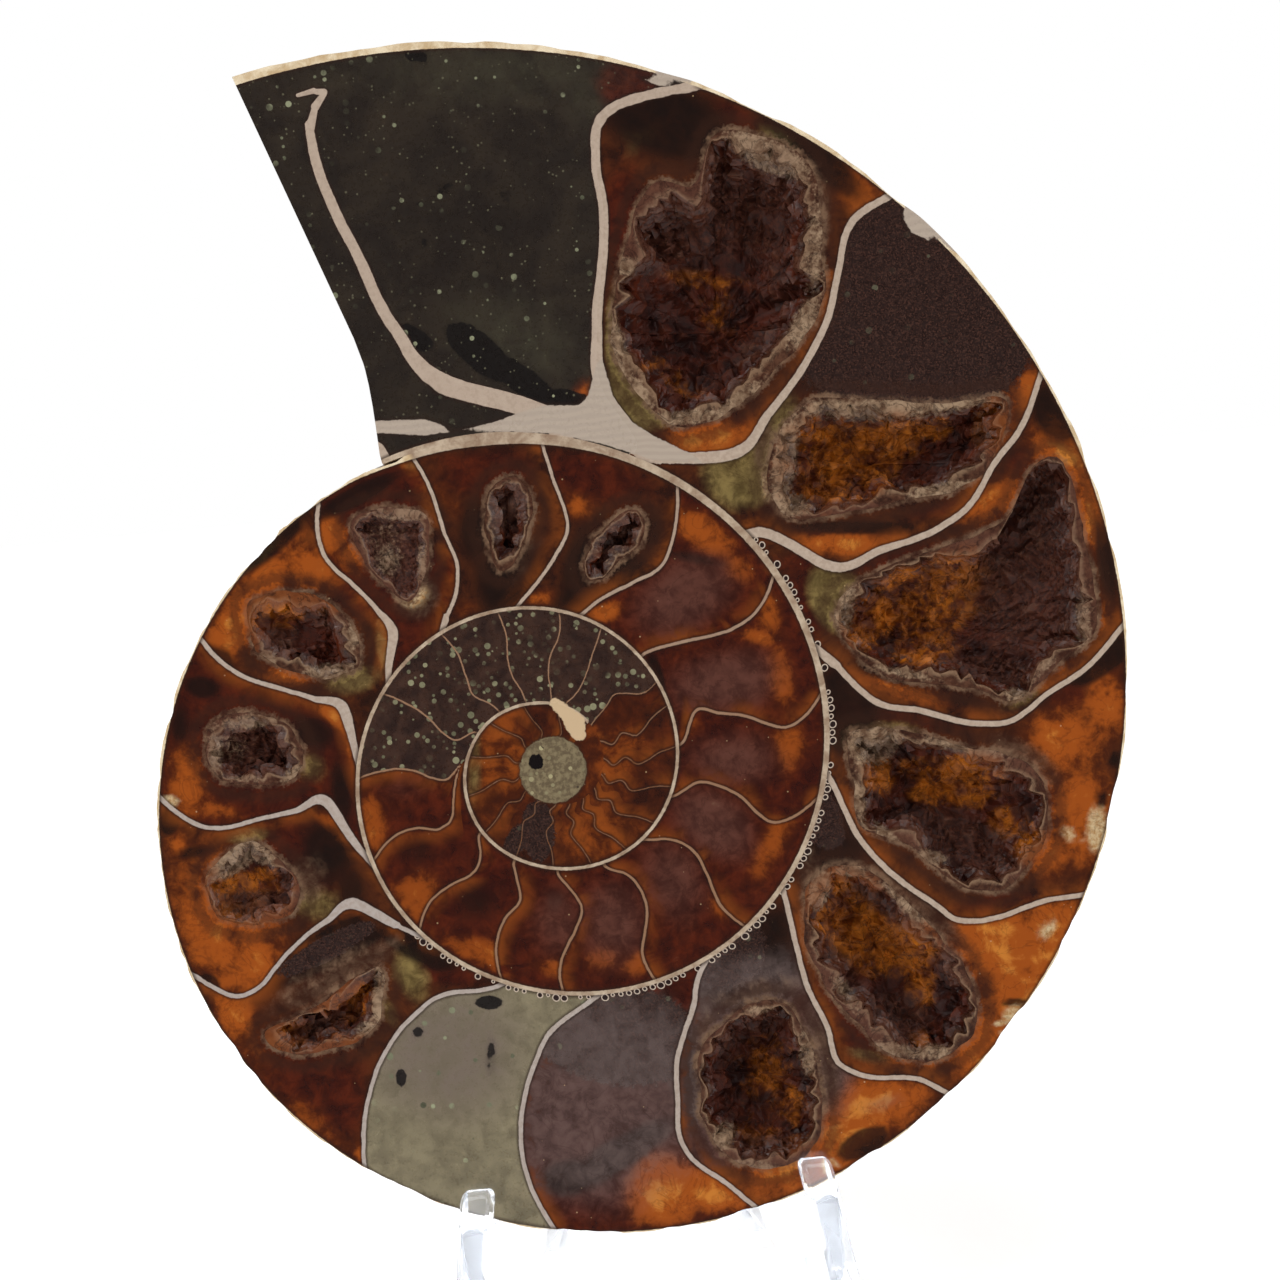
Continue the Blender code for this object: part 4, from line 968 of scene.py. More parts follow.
maroon = stain("maroon", mixed, 0.7, 0.3)
maroon_tone = blend(tree, ease(tree, middling, 0.35, 0.7), colour(50, 13, 7), colour(84, 28, 12))
seen = blend(tree, calc(tree, "MULTIPLY", maroon, 0.85), seen, maroon_tone)

amber = stain("amber", mixed, 0.9, 0.42)
depth_of_amber = calc(tree, "MULTIPLY_ADD", calc(tree, "SUBTRACT", mixed, 0.5), 2.6, calc(tree, "MULTIPLY", fills["amber"], 0.85))
amber_tone = blend(tree, ease(tree, depth_of_amber, 0.3, 0.75), colour(92, 38, 11), colour(156, 76, 22))
amber_tone = blend(tree, ease(tree, depth_of_amber, 0.85, 1.25), amber_tone, colour(196, 120, 46))
weaker = ease(tree, phase, LAST_SEPTUM - 19.0, LAST_SEPTUM - 15.0, 0.75, 1.0)
seen = blend(tree, calc(tree, "MULTIPLY", amber, weaker), seen, amber_tone)

olive = stain("olive", mixed, 0.7, 0.25)
olive_tone = blend(tree, ease(tree, middling, 0.3, 0.7), colour(84, 68, 36), colour(138, 118, 70))
silty_tone = blend(tree, ease(tree, middling, 0.3, 0.7), colour(114, 104, 82), colour(142, 131, 104))
olive_tone = blend(tree, silt, olive_tone, silty_tone)
seen = blend(tree, calc(tree, "MULTIPLY", olive, 0.9), seen, olive_tone)

darkness = stain("dark", mixed, 0.9, 0.22)
seen = blend(tree, calc(tree, "MULTIPLY", darkness, 0.86), seen, colour(20, 11, 8))

mud = stain("mud", fine, 0.35, 0.06)
mud_tone = blend(tree, ease(tree, dust, 0.46, 0.66), colour(33, 16, 12), colour(73, 46, 37))
seen = blend(tree, mud, seen, mud_tone)

haze = calc(tree, "MULTIPLY", stain("cloud", mixed, 0.8, 0.45), ease(tree, middling, 0.25, 0.7, 0.25, 0.7))
greyer = calc(tree, "MULTIPLY", calc(tree, "GREATER_THAN", phase, LAST_SEPTUM - 9.0), calc(tree, "LESS_THAN", phase, LAST_SEPTUM - 6.0))
haze_tone = blend(tree, silt, colour(98, 64, 54), colour(66, 62, 47))
haze_tone = blend(tree, greyer, haze_tone, colour(104, 88, 84))
seen = blend(tree, haze, seen, haze_tone)
crisp = calc(tree, "MULTIPLY", silt, stain("dark", mixed, 0.9, 0.03))
seen = blend(tree, calc(tree, "MULTIPLY", crisp, 0.92), seen, colour(17, 11, 9))

crust = calc(tree, "MULTIPLY", stain("grey", mixed, 0.9, 0.3), ease(tree, middling, 0.2, 0.75, 0.35, 0.85))
sugary = calc(tree, "MULTIPLY_ADD", fine, 0.35, calc(tree, "MULTIPLY", middling, 0.65))
crust_tone = blend(tree, ease(tree, sugary, 0.34, 0.66), colour(62, 38, 27), colour(122, 95, 74))
seen = blend(tree, crust, seen, crust_tone)

pale = stain("pale", mixed, 1.4, 0.3)
pale_tone = blend(tree, ease(tree, fine, 0.3, 0.7), colour(168, 124, 76), colour(204, 180, 140))
seen = blend(tree, pale, seen, pale_tone)
print("mineral layers:", len(tree.nodes), "nodes")

# %% grains and veins
grit = use_group(tree, grain_group, Place=place, Size=0.95, Share=0.14, Radius=0.42)
grit_tone = blend(tree, grit["Tone"], colour(66, 66, 50), colour(158, 160, 128))
gritty = calc(tree, "MULTIPLY", calc(tree, "MAXIMUM", silt, calc(tree, "MULTIPLY", mud, 0.25)), calc(tree, "MAXIMUM", ease(tree, wide, 0.46, 0.62, 0.1, 1.0), ease(tree, haze, 0.1, 0.3)))
seen = blend(tree, calc(tree, "MULTIPLY", grit["Mask"], gritty), seen, grit_tone)
powder = use_group(tree, grain_group, Place=place, Size=0.36, Share=0.1, Radius=0.38)
seen = blend(tree, calc(tree, "MULTIPLY", calc(tree, "MULTIPLY", powder["Mask"], silt), 0.45), seen, colour(120, 116, 92))
veins = ease(tree, calc(tree, "ABSOLUTE", calc(tree, "SUBTRACT", cloud(tree, place, 4.0, 4.0, 0.6, 1.2), 0.5)), 0.0, 0.022, 1.0, 0.0)
clear_of_grit = calc(tree, "SUBTRACT", 1.0, calc(tree, "MAXIMUM", silt, mud))
seen = blend(tree, calc(tree, "MULTIPLY", calc(tree, "MULTIPLY", veins, clear_of_grit), 0.28), seen, colour(44, 20, 12))
flecks = use_group(tree, grain_group, Place=place, Size=0.7, Share=0.07, Radius=0.16)
seen = blend(tree, calc(tree, "MULTIPLY", calc(tree, "MULTIPLY", flecks["Mask"], clear_of_grit), 0.5), seen, colour(205, 175, 130))

# %% round the hollows
to_mouth, to_nacre, along_coil = stored(tree, "edges")
rough_mouth = calc(tree, "MULTIPLY_ADD", calc(tree, "SUBTRACT", fine, 0.5), 1.5, to_mouth)
band = calc(tree, "MULTIPLY", ease(tree, rough_mouth, 0.5, 0.9), ease(tree, rough_mouth, 1.3, 2.4, 1.0, 0.0))
seen = blend(tree, calc(tree, "MULTIPLY", band, 0.55), seen, colour(52, 28, 18))
sugar = calc(tree, "MULTIPLY", ease(tree, rough_mouth, 0.15, 0.6, 1.0, 0.0), ease(tree, fills["amber"], 0.2, 1.0, 1.0, 0.45))
sugar_tone = blend(tree, ease(tree, sugary, 0.36, 0.64), colour(64, 40, 29), colour(126, 98, 76))
seen = blend(tree, calc(tree, "MULTIPLY", sugar, ease(tree, middling, 0.3, 0.6, 0.35, 0.95)), seen, sugar_tone)

# %% septa, walls and mother-of-pearl
from_inner, from_outer, outermost = stored(tree, "walls")
to_wall = calc(tree, "MINIMUM", from_inner, from_outer)
to_wall = calc(tree, "MULTIPLY_ADD", calc(tree, "SUBTRACT", fine, 0.5), 0.12, to_wall)
lone = calc(tree, "MULTIPLY", ease(tree, to_wall, 0.15, 0.6), ease(tree, to_nacre, 0.05, 0.5, 0.6, 0.0))
seen = blend(tree, lone, seen, colour(40, 24, 17))
nearest = calc(tree, "ROUND", phase)
signed = calc(tree, "DIVIDE", calc(tree, "SUBTRACT", phase, nearest), slope)
wavy = calc(tree, "MULTIPLY_ADD", calc(tree, "SUBTRACT", middling, 0.5), 0.25, signed)
apart = calc(tree, "SUBTRACT", calc(tree, "ABSOLUTE", wavy), half)
drawn = calc(tree, "GREATER_THAN", half, 0.0)
younger = calc(tree, "GREATER_THAN", signed, 0.0)
# amber fringe on each septum's younger side: amber calcite colour, and a painted glow of light shining through the
# calcite
amber_fringe_and_glow = calc(tree, "MULTIPLY", calc(tree, "MULTIPLY", ease(tree, apart, 0.0, 1.9, 1.0, 0.0), younger), ease(tree, wide, 0.35, 0.62))
muddy = calc(tree, "MAXIMUM", calc(tree, "MAXIMUM", silt, mud), ease(tree, haze, 0.1, 0.5))
amber_fringe_and_glow = calc(tree, "MULTIPLY", calc(tree, "MULTIPLY", amber_fringe_and_glow, calc(tree, "SUBTRACT", 1.0, muddy)), drawn)
seen = blend(tree, calc(tree, "MULTIPLY", amber_fringe_and_glow, 0.62), seen, colour(142, 72, 24))
outline = calc(tree, "MULTIPLY", ease(tree, apart, 0.04, 0.34, 1.0, 0.0), drawn)
seen = blend(tree, calc(tree, "MULTIPLY", outline, 0.72), seen, colour(40, 22, 16))
line = calc(tree, "MULTIPLY", ease(tree, apart, -0.04, 0.05, 1.0, 0.0), drawn)
cool = ease(tree, phase, LAST_SEPTUM - 13.5, LAST_SEPTUM - 10.0)
cool = calc(tree, "MULTIPLY", cool, ease(tree, phase, LAST_SEPTUM - 8.5, LAST_SEPTUM - 5.0, 1.0, 0.0))
thin_tone = blend(tree, ease(tree, phase, LAST_SEPTUM - 34.0, LAST_SEPTUM - 31.0), colour(112, 70, 42), colour(150, 112, 84))
thin_tone = blend(tree, ease(tree, phase, LAST_SEPTUM - 19.0, LAST_SEPTUM - 14.0), thin_tone, colour(190, 170, 152))
line_tone = blend(tree, cool, thin_tone, colour(182, 170, 162))
line_tone = blend(tree, ease(tree, fine, 0.3, 0.7, 0.0, 0.35), line_tone, colour(140, 116, 98))
seen = blend(tree, line, seen, line_tone)


def stroke(start, end, half_width):
    """Millimetres outside a short straight stroke across the section."""
    start, end = (PLACE @ Vector((u, 0.0, v)) for u, v in (start, end))
    return use_group(tree, stroke_group, Place=place, Start=start, Reach=end - start, Half=half_width)["Outside"]


hook = stroke((-24.68, 64.6), (-24.15, 66.8), 0.46)
for start, end, half_width in (((-24.15, 66.8), (-23.25, 68.1), 0.42), ((-23.3, 68.25), (-24.4, 68.35), 0.36), ((-24.3, 68.4), (-25.9, 67.95), 0.28)):
    hook = calc(tree, "MINIMUM", hook, stroke(start, end, half_width))
seen = blend(tree, calc(tree, "MULTIPLY", ease(tree, hook, 0.04, 0.34, 0.72, 0.0), calc(tree, "SUBTRACT", 1.0, line)), seen, colour(40, 22, 16))
seen = blend(tree, ease(tree, hook, -0.04, 0.05, 1.0, 0.0), seen, line_tone)

wall_shade = calc(tree, "MULTIPLY", ease(tree, to_wall, 0.05, 0.45, 0.75, 0.0), ease(tree, to_nacre, 0.1, 0.6))
seen = blend(tree, wall_shade, seen, colour(44, 24, 16))
wall_tone = blend(tree, ease(tree, middling, 0.3, 0.7), colour(150, 124, 102), colour(200, 180, 156))
rim_tone = blend(tree, ease(tree, middling, 0.35, 0.65), colour(204, 176, 136), colour(240, 222, 190))
at_rim = calc(tree, "MULTIPLY", outermost, calc(tree, "LESS_THAN", from_outer, from_inner))
seen = blend(tree, ease(tree, to_wall, -0.03, 0.05, 1.0, 0.0), seen, blend(tree, at_rim, wall_tone, rim_tone))

layers = add_node(tree, "TexWave", {"Vector": place, "Scale": 420.0, "Distortion": 6.0, "Detail": 3.0, "Detail Scale": 0.6},
                  bands_direction="Z").outputs["Fac"]
pearl_tone = blend(tree, ease(tree, layers, 0.1, 0.9), colour(176, 160, 145), colour(182, 166, 150))
pearl = ease(tree, calc(tree, "MULTIPLY_ADD", calc(tree, "SUBTRACT", fine, 0.5), 0.3, to_nacre), -0.05, 0.08, 1.0, 0.0)
seen = blend(tree, pearl, seen, pearl_tone)

# %% the centre, round grains and bubbles by the coil
DISC_CENTRE, DISC_RADIUS = (-0.2, 0.0), 3.35
PIT_CENTRE, PIT_RADIUS = (-1.9, 0.8), 0.75


def ring_round(centre, radius):
    """Millimetres outside a circle on the section, less than nothing inside it."""
    middle = PLACE @ Vector((centre[0], 0.0, centre[1]))
    away = add_node(tree, "VectorMath", {0: place, 1: middle}, operation="DISTANCE").outputs["Value"]
    return calc(tree, "MULTIPLY_ADD", away, 1.0 / MM, calc(tree, "MULTIPLY_ADD", calc(tree, "SUBTRACT", fine, 0.5), 0.5, -radius))


def between(low, high):
    """Chambers from one to another, counted from the mouth."""
    return calc(tree, "MULTIPLY", calc(tree, "GREATER_THAN", phase, LAST_SEPTUM - high), calc(tree, "LESS_THAN", phase, LAST_SEPTUM + 1.0 - low))


silty_turn = calc(tree, "MULTIPLY", between(27, 32), mud)
seen_turn = blend(tree, ease(tree, middling, 0.3, 0.7), colour(38, 21, 16), colour(64, 41, 31))
dots = use_group(tree, grain_group, Place=place, Size=0.8, Share=0.85, Radius=0.48)
dotted = calc(tree, "MULTIPLY", dots["Mask"], ease(tree, wide, 0.4, 0.52, 0.1, 1.0))
seen_turn = blend(tree, dotted, seen_turn, blend(tree, dots["Tone"], colour(84, 82, 62), colour(140, 136, 106)))
lines_clear = calc(tree, "SUBTRACT", 1.0, calc(tree, "MAXIMUM", line, ease(tree, to_wall, -0.03, 0.05, 1.0, 0.0)))
seen = blend(tree, calc(tree, "MULTIPLY", silty_turn, lines_clear), seen, seen_turn)
BUBBLE = 0.8                              # millimetres of the coil to each bubble
bead = calc(tree, "DIVIDE", along_coil, BUBBLE)
lot = add_node(tree, "TexWhiteNoise", {"W": calc(tree, "FLOOR", bead)}, noise_dimensions="1D").outputs
size_of = calc(tree, "MULTIPLY_ADD", lot["Value"], 0.2, 0.14)
sideways = calc(tree, "MULTIPLY_ADD", calc(tree, "FRACT", bead), BUBBLE, -0.5 * BUBBLE)
upwards = calc(tree, "SUBTRACT", from_inner, size_of)
away = calc(tree, "SQRT", calc(tree, "ADD", calc(tree, "MULTIPLY", sideways, sideways), calc(tree, "MULTIPLY", upwards, upwards)))
off_shell = calc(tree, "SUBTRACT", away, size_of)
present = calc(tree, "GREATER_THAN", add_node(tree, "SeparateXYZ", {0: lot["Color"]}).outputs[1], 0.25)
bubbly = calc(tree, "MULTIPLY", calc(tree, "MULTIPLY", between(4, 10), present), lines_clear)
seen = blend(tree, calc(tree, "MULTIPLY", ease(tree, off_shell, 0.0, 0.05, 1.0, 0.0), bubbly), seen, colour(40, 26, 24))
seen = blend(tree, calc(tree, "MULTIPLY", ease(tree, calc(tree, "ABSOLUTE", off_shell), 0.02, 0.08, 1.0, 0.0), bubbly), seen, colour(196, 178, 160))

knob = calc(tree, "MINIMUM", stroke((2.0, 4.7), (2.4, 3.6), 1.05), stroke((1.8, 5.1), (0.0, 6.75), 0.8))
knob = calc(tree, "MULTIPLY_ADD", calc(tree, "SUBTRACT", fine, 0.5), 0.5, knob)
on_knob = ease(tree, knob, -0.05, 0.1, 1.0, 0.0)
seen = blend(tree, on_knob, seen, colour(206, 178, 142))
to_disc = ring_round(DISC_CENTRE, DISC_RADIUS)
on_disc = ease(tree, to_disc, -0.06, 0.06, 1.0, 0.0)
disc_tone = blend(tree, ease(tree, fine, 0.35, 0.65), colour(100, 86, 66), colour(132, 118, 90))
disc_grit = use_group(tree, grain_group, Place=place, Size=0.7, Share=0.5, Radius=0.4)
disc_tone = blend(tree, disc_grit["Mask"], disc_tone, blend(tree, disc_grit["Tone"], colour(66, 54, 44), colour(178, 168, 128)))
# painted shade: the pit by the centre is drawn near-black on the flat face instead of being cut into it
disc_tone = blend(tree, ease(tree, ring_round(PIT_CENTRE, PIT_RADIUS), -0.05, 0.1, 1.0, 0.0), disc_tone, colour(18, 12, 12))
seen = blend(tree, ease(tree, to_disc, 0.0, 0.35, 0.8, 0.0), seen, colour(60, 34, 22))
# Over them lie the septa as thin cream lines with a dark edge and, on their younger side, an amber fringe: calcite
# colour with a painted glow of light through it. Layers of colour are laid over each other in that order, each with its
# own ragged mask.
seen = blend(tree, on_disc, seen, disc_tone)
print("with the centre:", len(tree.nodes), "nodes")

# %% gloss of the polish
tree.links.new(seen, shader.inputs["Base Color"])
gloss = calc(tree, "MULTIPLY_ADD", calc(tree, "MAXIMUM", silt, mud), 0.14, ease(tree, fine, 0.2, 0.8, 0.1, 0.2))
tree.links.new(gloss, shader.inputs["Roughness"])
grooves = calc(tree, "MULTIPLY_ADD", fine, 0.3, calc(tree, "MULTIPLY", line, 0.5))
bump = add_node(tree, "Bump", {"Strength": 0.08, "Distance": 0.1 * MM, "Height": grooves})
tree.links.new(bump.outputs["Normal"], shader.inputs["Normal"])
face.data.materials.clear()
face.data.materials.append(section)
print("section material:", len(tree.nodes), "nodes")

# %% [markdown]
# ## Crystal linings
# In a chamber that water kept open, calcite grew inwards from the wall. The saw left the crust as
# a sugary grey ring, and inside it the crystals still stand, small and sharp. A lining is a grid
# wrapped into a cup: up the hidden outside, over the polished ring and down the open inside.
# The crystals are low pyramids: each corner of the inside rises to the highest pyramid over it.

# %% how each lining is coloured and where it is deepest
LININGS = {
    "chamber_1": ((16.5, 44.5), 1.25, (
        ("amber", 15, 50, 5, 1.1, -5, 0.55), ("amber", 16.5, 46.5, 2.0, 2.6, 0, 0.48), ("amber", 9.8, 41, 1.8, 0.9, 20, 0.55),
        ("amber", 13, 39, 3.5, 1.6, -30, 0.42), ("purple", 14, 57, 7, 5.5, 20, 1.1), ("purple", 21, 57, 4, 6, 0, 0.85),
        ("purple", 23, 50, 2.5, 6, 0, 0.55), ("purple", 21, 43.5, 4, 1.4, 45, 0.8), ("purple", 8.5, 53.5, 2.5, 3, 0, 1.0),
        ("pale", 21.5, 62, 4, 1.4, -25, 1.1), ("pale", 26.2, 52, 1.2, 8, -2, 0.6), ("pale", 25, 45, 1.2, 3, -30, 0.85),
        ("pale", 13, 35.6, 3.5, 0.8, 5, 1.0), ("pale", 6.5, 42, 0.8, 4, 15, 1.0), ("pale", 8.5, 38.3, 2.5, 0.7, -50, 0.8),
        ("pale", 7.0, 50.8, 1.0, 0.8, 0, 1.2), ("pale", 18, 36.8, 4, 0.8, 38, 0.8))),
    "chamber_2": ((32, 31), 1.1, (
        ("amber", 27, 31, 5, 4.5, 0, 0.85), ("amber", 33, 33, 4, 2.5, 20, 1.05), ("amber", 35.5, 34.3, 3, 1, 0, 1.1),
        ("amber", 38.8, 34.4, 1.5, 1, 0, 0.9), ("amber", 44.4, 34.5, 2, 3, 0, 0.85), ("amber", 32, 29, 3, 1.5, 30, 0.8),
        ("pale", 32, 36.4, 8, 1.2, 0, 0.85), ("pale", 40, 36.9, 4, 0.8, 5, 0.8), ("pale", 23.2, 31, 1.3, 5, -8, 1.0),
        ("pale", 24, 26.8, 2, 1.3, 0, 0.9), ("pale", 39.5, 28.2, 3.5, 0.8, 8, 1.1), ("purple", 31, 26, 6, 1, 0, 1.0),
        ("purple", 43.4, 33, 1.2, 3, 0, 0.7))),
    "chamber_3": ((37.5, 15), 0.9, (
        ("amber", 31.8, 15, 3, 2.2, 30, 1.1), ("amber", 41, 18.8, 3.6, 3.0, 0, 1.15), ("amber", 37.5, 12.4, 3, 1.8, 10, 1.0),
        ("amber", 35, 19.4, 3, 1, 20, 0.8), ("amber", 38, 16, 5, 3, 0, 0.6), ("purple", 48.5, 18, 6, 6, 0, 1.1),
        ("purple", 50, 26, 3, 5, 0, 1.15), ("purple", 45, 10, 5, 1.5, -10, 1.0), ("purple", 43, 23, 4, 1, 10, 1.0),
        ("pale", 29.2, 16.5, 1.2, 3, 0, 0.9), ("pale", 53.2, 15, 1.0, 4, 0, 0.65), ("pale", 35, 9.8, 4, 0.5, -12, 0.7),
        ("pale", 46.5, 7.6, 1.4, 0.8, 0, 0.8), ("pale", 49, 10, 3, 0.5, 45, 0.6))),
    "chamber_4": ((38.5, -1.8), 1.15, (
        ("amber", 33, -0.5, 1.8, 2, 0, 0.95), ("amber", 42, -1, 3, 2.5, 10, 1.25), ("amber", 38, -2.5, 2, 1.5, 0, 0.9),
        ("amber", 46, -5.5, 2, 1.5, 0, 0.9), ("amber", 48.5, -8.2, 2, 2, 0, 0.95), ("amber", 36, 0, 3, 1.5, 0, 0.6),
        ("purple", 40, -6.8, 5.5, 2.3, -10, 1.1), ("purple", 46, 1, 4, 1.5, -20, 0.9), ("purple", 44, -9.5, 4, 1.5, -10, 0.85),
        ("pale", 32.2, 2.6, 2.5, 2.0, 0, 1.2), ("pale", 41.5, 2.3, 4, 0.7, -12, 0.95), ("pale", 30.6, -3, 0.8, 3, 10, 0.8),
        ("pale", 33.5, -6.7, 2, 0.7, -45, 0.85), ("pale", 38, -8.8, 2, 0.7, -15, 0.85))),
    "chamber_5": ((32.5, -18), 1.15, (
        ("amber", 29, -13.4, 3.4, 3.4, -40, 1.15), ("amber", 33, -17.8, 5, 2.8, -10, 1.25), ("amber", 37.4, -22.5, 1.6, 1.8, 0, 0.95),
        ("amber", 37.5, -16.5, 2, 2, 0, 0.6), ("amber", 36.8, -27.2, 0.9, 0.9, 0, 1.0), ("purple", 29, -22, 2, 5, 30, 1.0),
        ("purple", 34, -25.5, 3.5, 2.4, 0, 1.1), ("purple", 33, -13.4, 5.5, 1.1, -40, 0.8), ("purple", 39.8, -19.5, 1.2, 3, 20, 0.8),
        ("pale", 26.7, -12.2, 1, 2, -10, 1.15), ("pale", 29.8, -10.2, 1.4, 0.6, 0, 1.2), ("pale", 29.3, -22.5, 0.8, 2.5, 35, 0.85),
        ("pale", 34, -28.2, 3, 0.8, -10, 0.85), ("pale", 38, -28.4, 2, 0.8, 0, 0.85), ("pale", 35.5, -13.6, 3.5, 0.7, -42, 0.75))),
    "chamber_6": ((20.3, -31), 0.9, (
        ("amber", 21.5, -31, 3.5, 4, 0, 0.5), ("amber", 24, -34, 1.5, 2.5, 0, 0.6), ("amber", 24, -38, 2, 1, 20, 0.65), ("amber", 20.5, -37, 3.5, 1.6, 0, 0.5),
        ("purple", 17, -27, 2.5, 3, 0, 0.7), ("purple", 21, -25.5, 3, 1.2, 0, 0.9), ("purple", 21, -38.6, 4, 1.6, 0, 0.9),
        ("pale", 17, -37, 1.2, 1.4, -40, 0.95), ("pale", 20.5, -40, 2.5, 0.7, -10, 0.85), ("pale", 25.4, -28.5, 0.8, 3.0, 3, 0.8),
        ("pale", 20.6, -24.2, 1.4, 0.5, 0, 0.8))),
    "chamber_7": ((-21.5, -23.6), 1.2, (
        ("amber", -21.5, -23.2, 3, 2.2, 30, 0.95), ("amber", -27.5, -26.8, 3.0, 1.6, 10, 0.95), ("amber", -22, -27.6, 4, 1, 10, 0.8), ("pale", -17.6, -22.8, 0.8, 3, 0, 1.1),
        ("pale", -18.9, -26.2, 1.1, 0.8, 0, 1.1), ("purple", -24, -25.8, 4, 1, 25, 0.8), ("purple", -24, -28, 3, 0.8, 0, 0.8))),
    "chamber_8": ((-30.5, -11.3), 1.2, (
        ("amber", -30.5, -11.4, 4, 1.2, 0, 1.3), ("amber", -30.5, -14.6, 5.5, 1.8, 0, 0.9), ("amber", -34.8, -11.5, 1.2, 2.5, 0, 0.8), ("pale", -32.5, -9, 3, 1.3, 32, 1.3), ("pale", -29.6, -8.8, 1.2, 0.8, 0, 1.1),
        ("purple", -29.5, -13.7, 4, 1.4, 0, 1.1), ("purple", -26.6, -11, 1.2, 2, 0, 1.0))),
    "chamber_9": ((-28.4, 1.8), 1.2, (
        ("purple", -31, 2.2, 4.4, 3.6, 0, 1.05), ("pale", -30.5, 4.9, 3.2, 0.8, 8, 0.9), ("pale", -34.2, 2, 0.8, 3, 0, 0.75), ("pale", -32.4, 2.2, 1.7, 2.2, 0, 0.5),
        ("pale", -26.2, -0.8, 1.5, 1, 30, 1.0), ("pale", -31, -0.9, 2.5, 0.5, 0, 0.6))),
    "chamber_10": ((-22.8, 12.6), 1.25, (
        ("amber", -28.6, 15.6, 3.4, 2.0, 20, 1.1), ("amber", -25, 17.2, 4, 1.2, -10, 1.0), ("amber", -31, 13.5, 1.4, 2.6, 0, 1.0), ("purple", -28, 12.8, 2, 1.6, 0, 1.0),
        ("purple", -23.5, 15.4, 3, 1.4, -30, 0.75), ("pale", -29, 11.2, 1.0, 0.8, 0, 1.0), ("pale", -22.6, 9.9, 2.5, 0.9, 5, 1.0),
        ("pale", -20.3, 13.6, 0.6, 1.4, 0, 0.9))),
    "chamber_11": ((-17.4, 23.6), 0.7, (
        ("purple", -16.5, 22.5, 6, 6, 0, 1.2), ("pale", -15.5, 25.8, 3, 0.7, 0, 0.9), ("pale", -13.4, 21, 0.6, 3, 0, 0.7),
        ("pale", -16.8, 21.2, 1.6, 1.8, 0, 0.75), ("pale", -17.2, 23.5, 3.2, 2.6, 0, 0.45))),
    "chamber_12": ((-5.1, 23.4), 1.3, (("pale", -4.8, 25, 4, 6, 0, 0.32), ("purple", -4.6, 26.6, 1.8, 2.6, 0, 1.0))),
    "chamber_13": ((5.0, 22.0), 1.3, (("pale", 5.5, 22.5, 5, 5, 0, 0.34), ("purple", 6.9, 24.3, 1.8, 1.6, 30, 1.0))),
}
TINTS = ("amber", "purple", "pale")
HIDDEN_ROWS = 7
RING_ROWS = 7
CORNER_STEP = 0.24                        # size of the inside's faces, mm
SEAT_SLACK = 0.02
FLUSH = 0.02                              # how far the ring lies under the polish


def pyramids(places, seeds, heights, steepness, faces_of_seed):
    """How high the tallest of the pyramids stands over each place."""
    tall = np.zeros(len(places), np.float32)
    for start in range(0, len(places), 1500):
        apart = places[start:start + 1500, None, :].astype(np.float32) - seeds[None].astype(np.float32)
        slide = np.full(apart.shape[:2], -1e9, np.float32)
        for side in faces_of_seed:
            slide = np.maximum(slide, (apart * side[None].astype(np.float32)).sum(2))
        tall[start:start + 1500] = np.maximum((heights - steepness * slide).max(1), 0.0)
    return tall


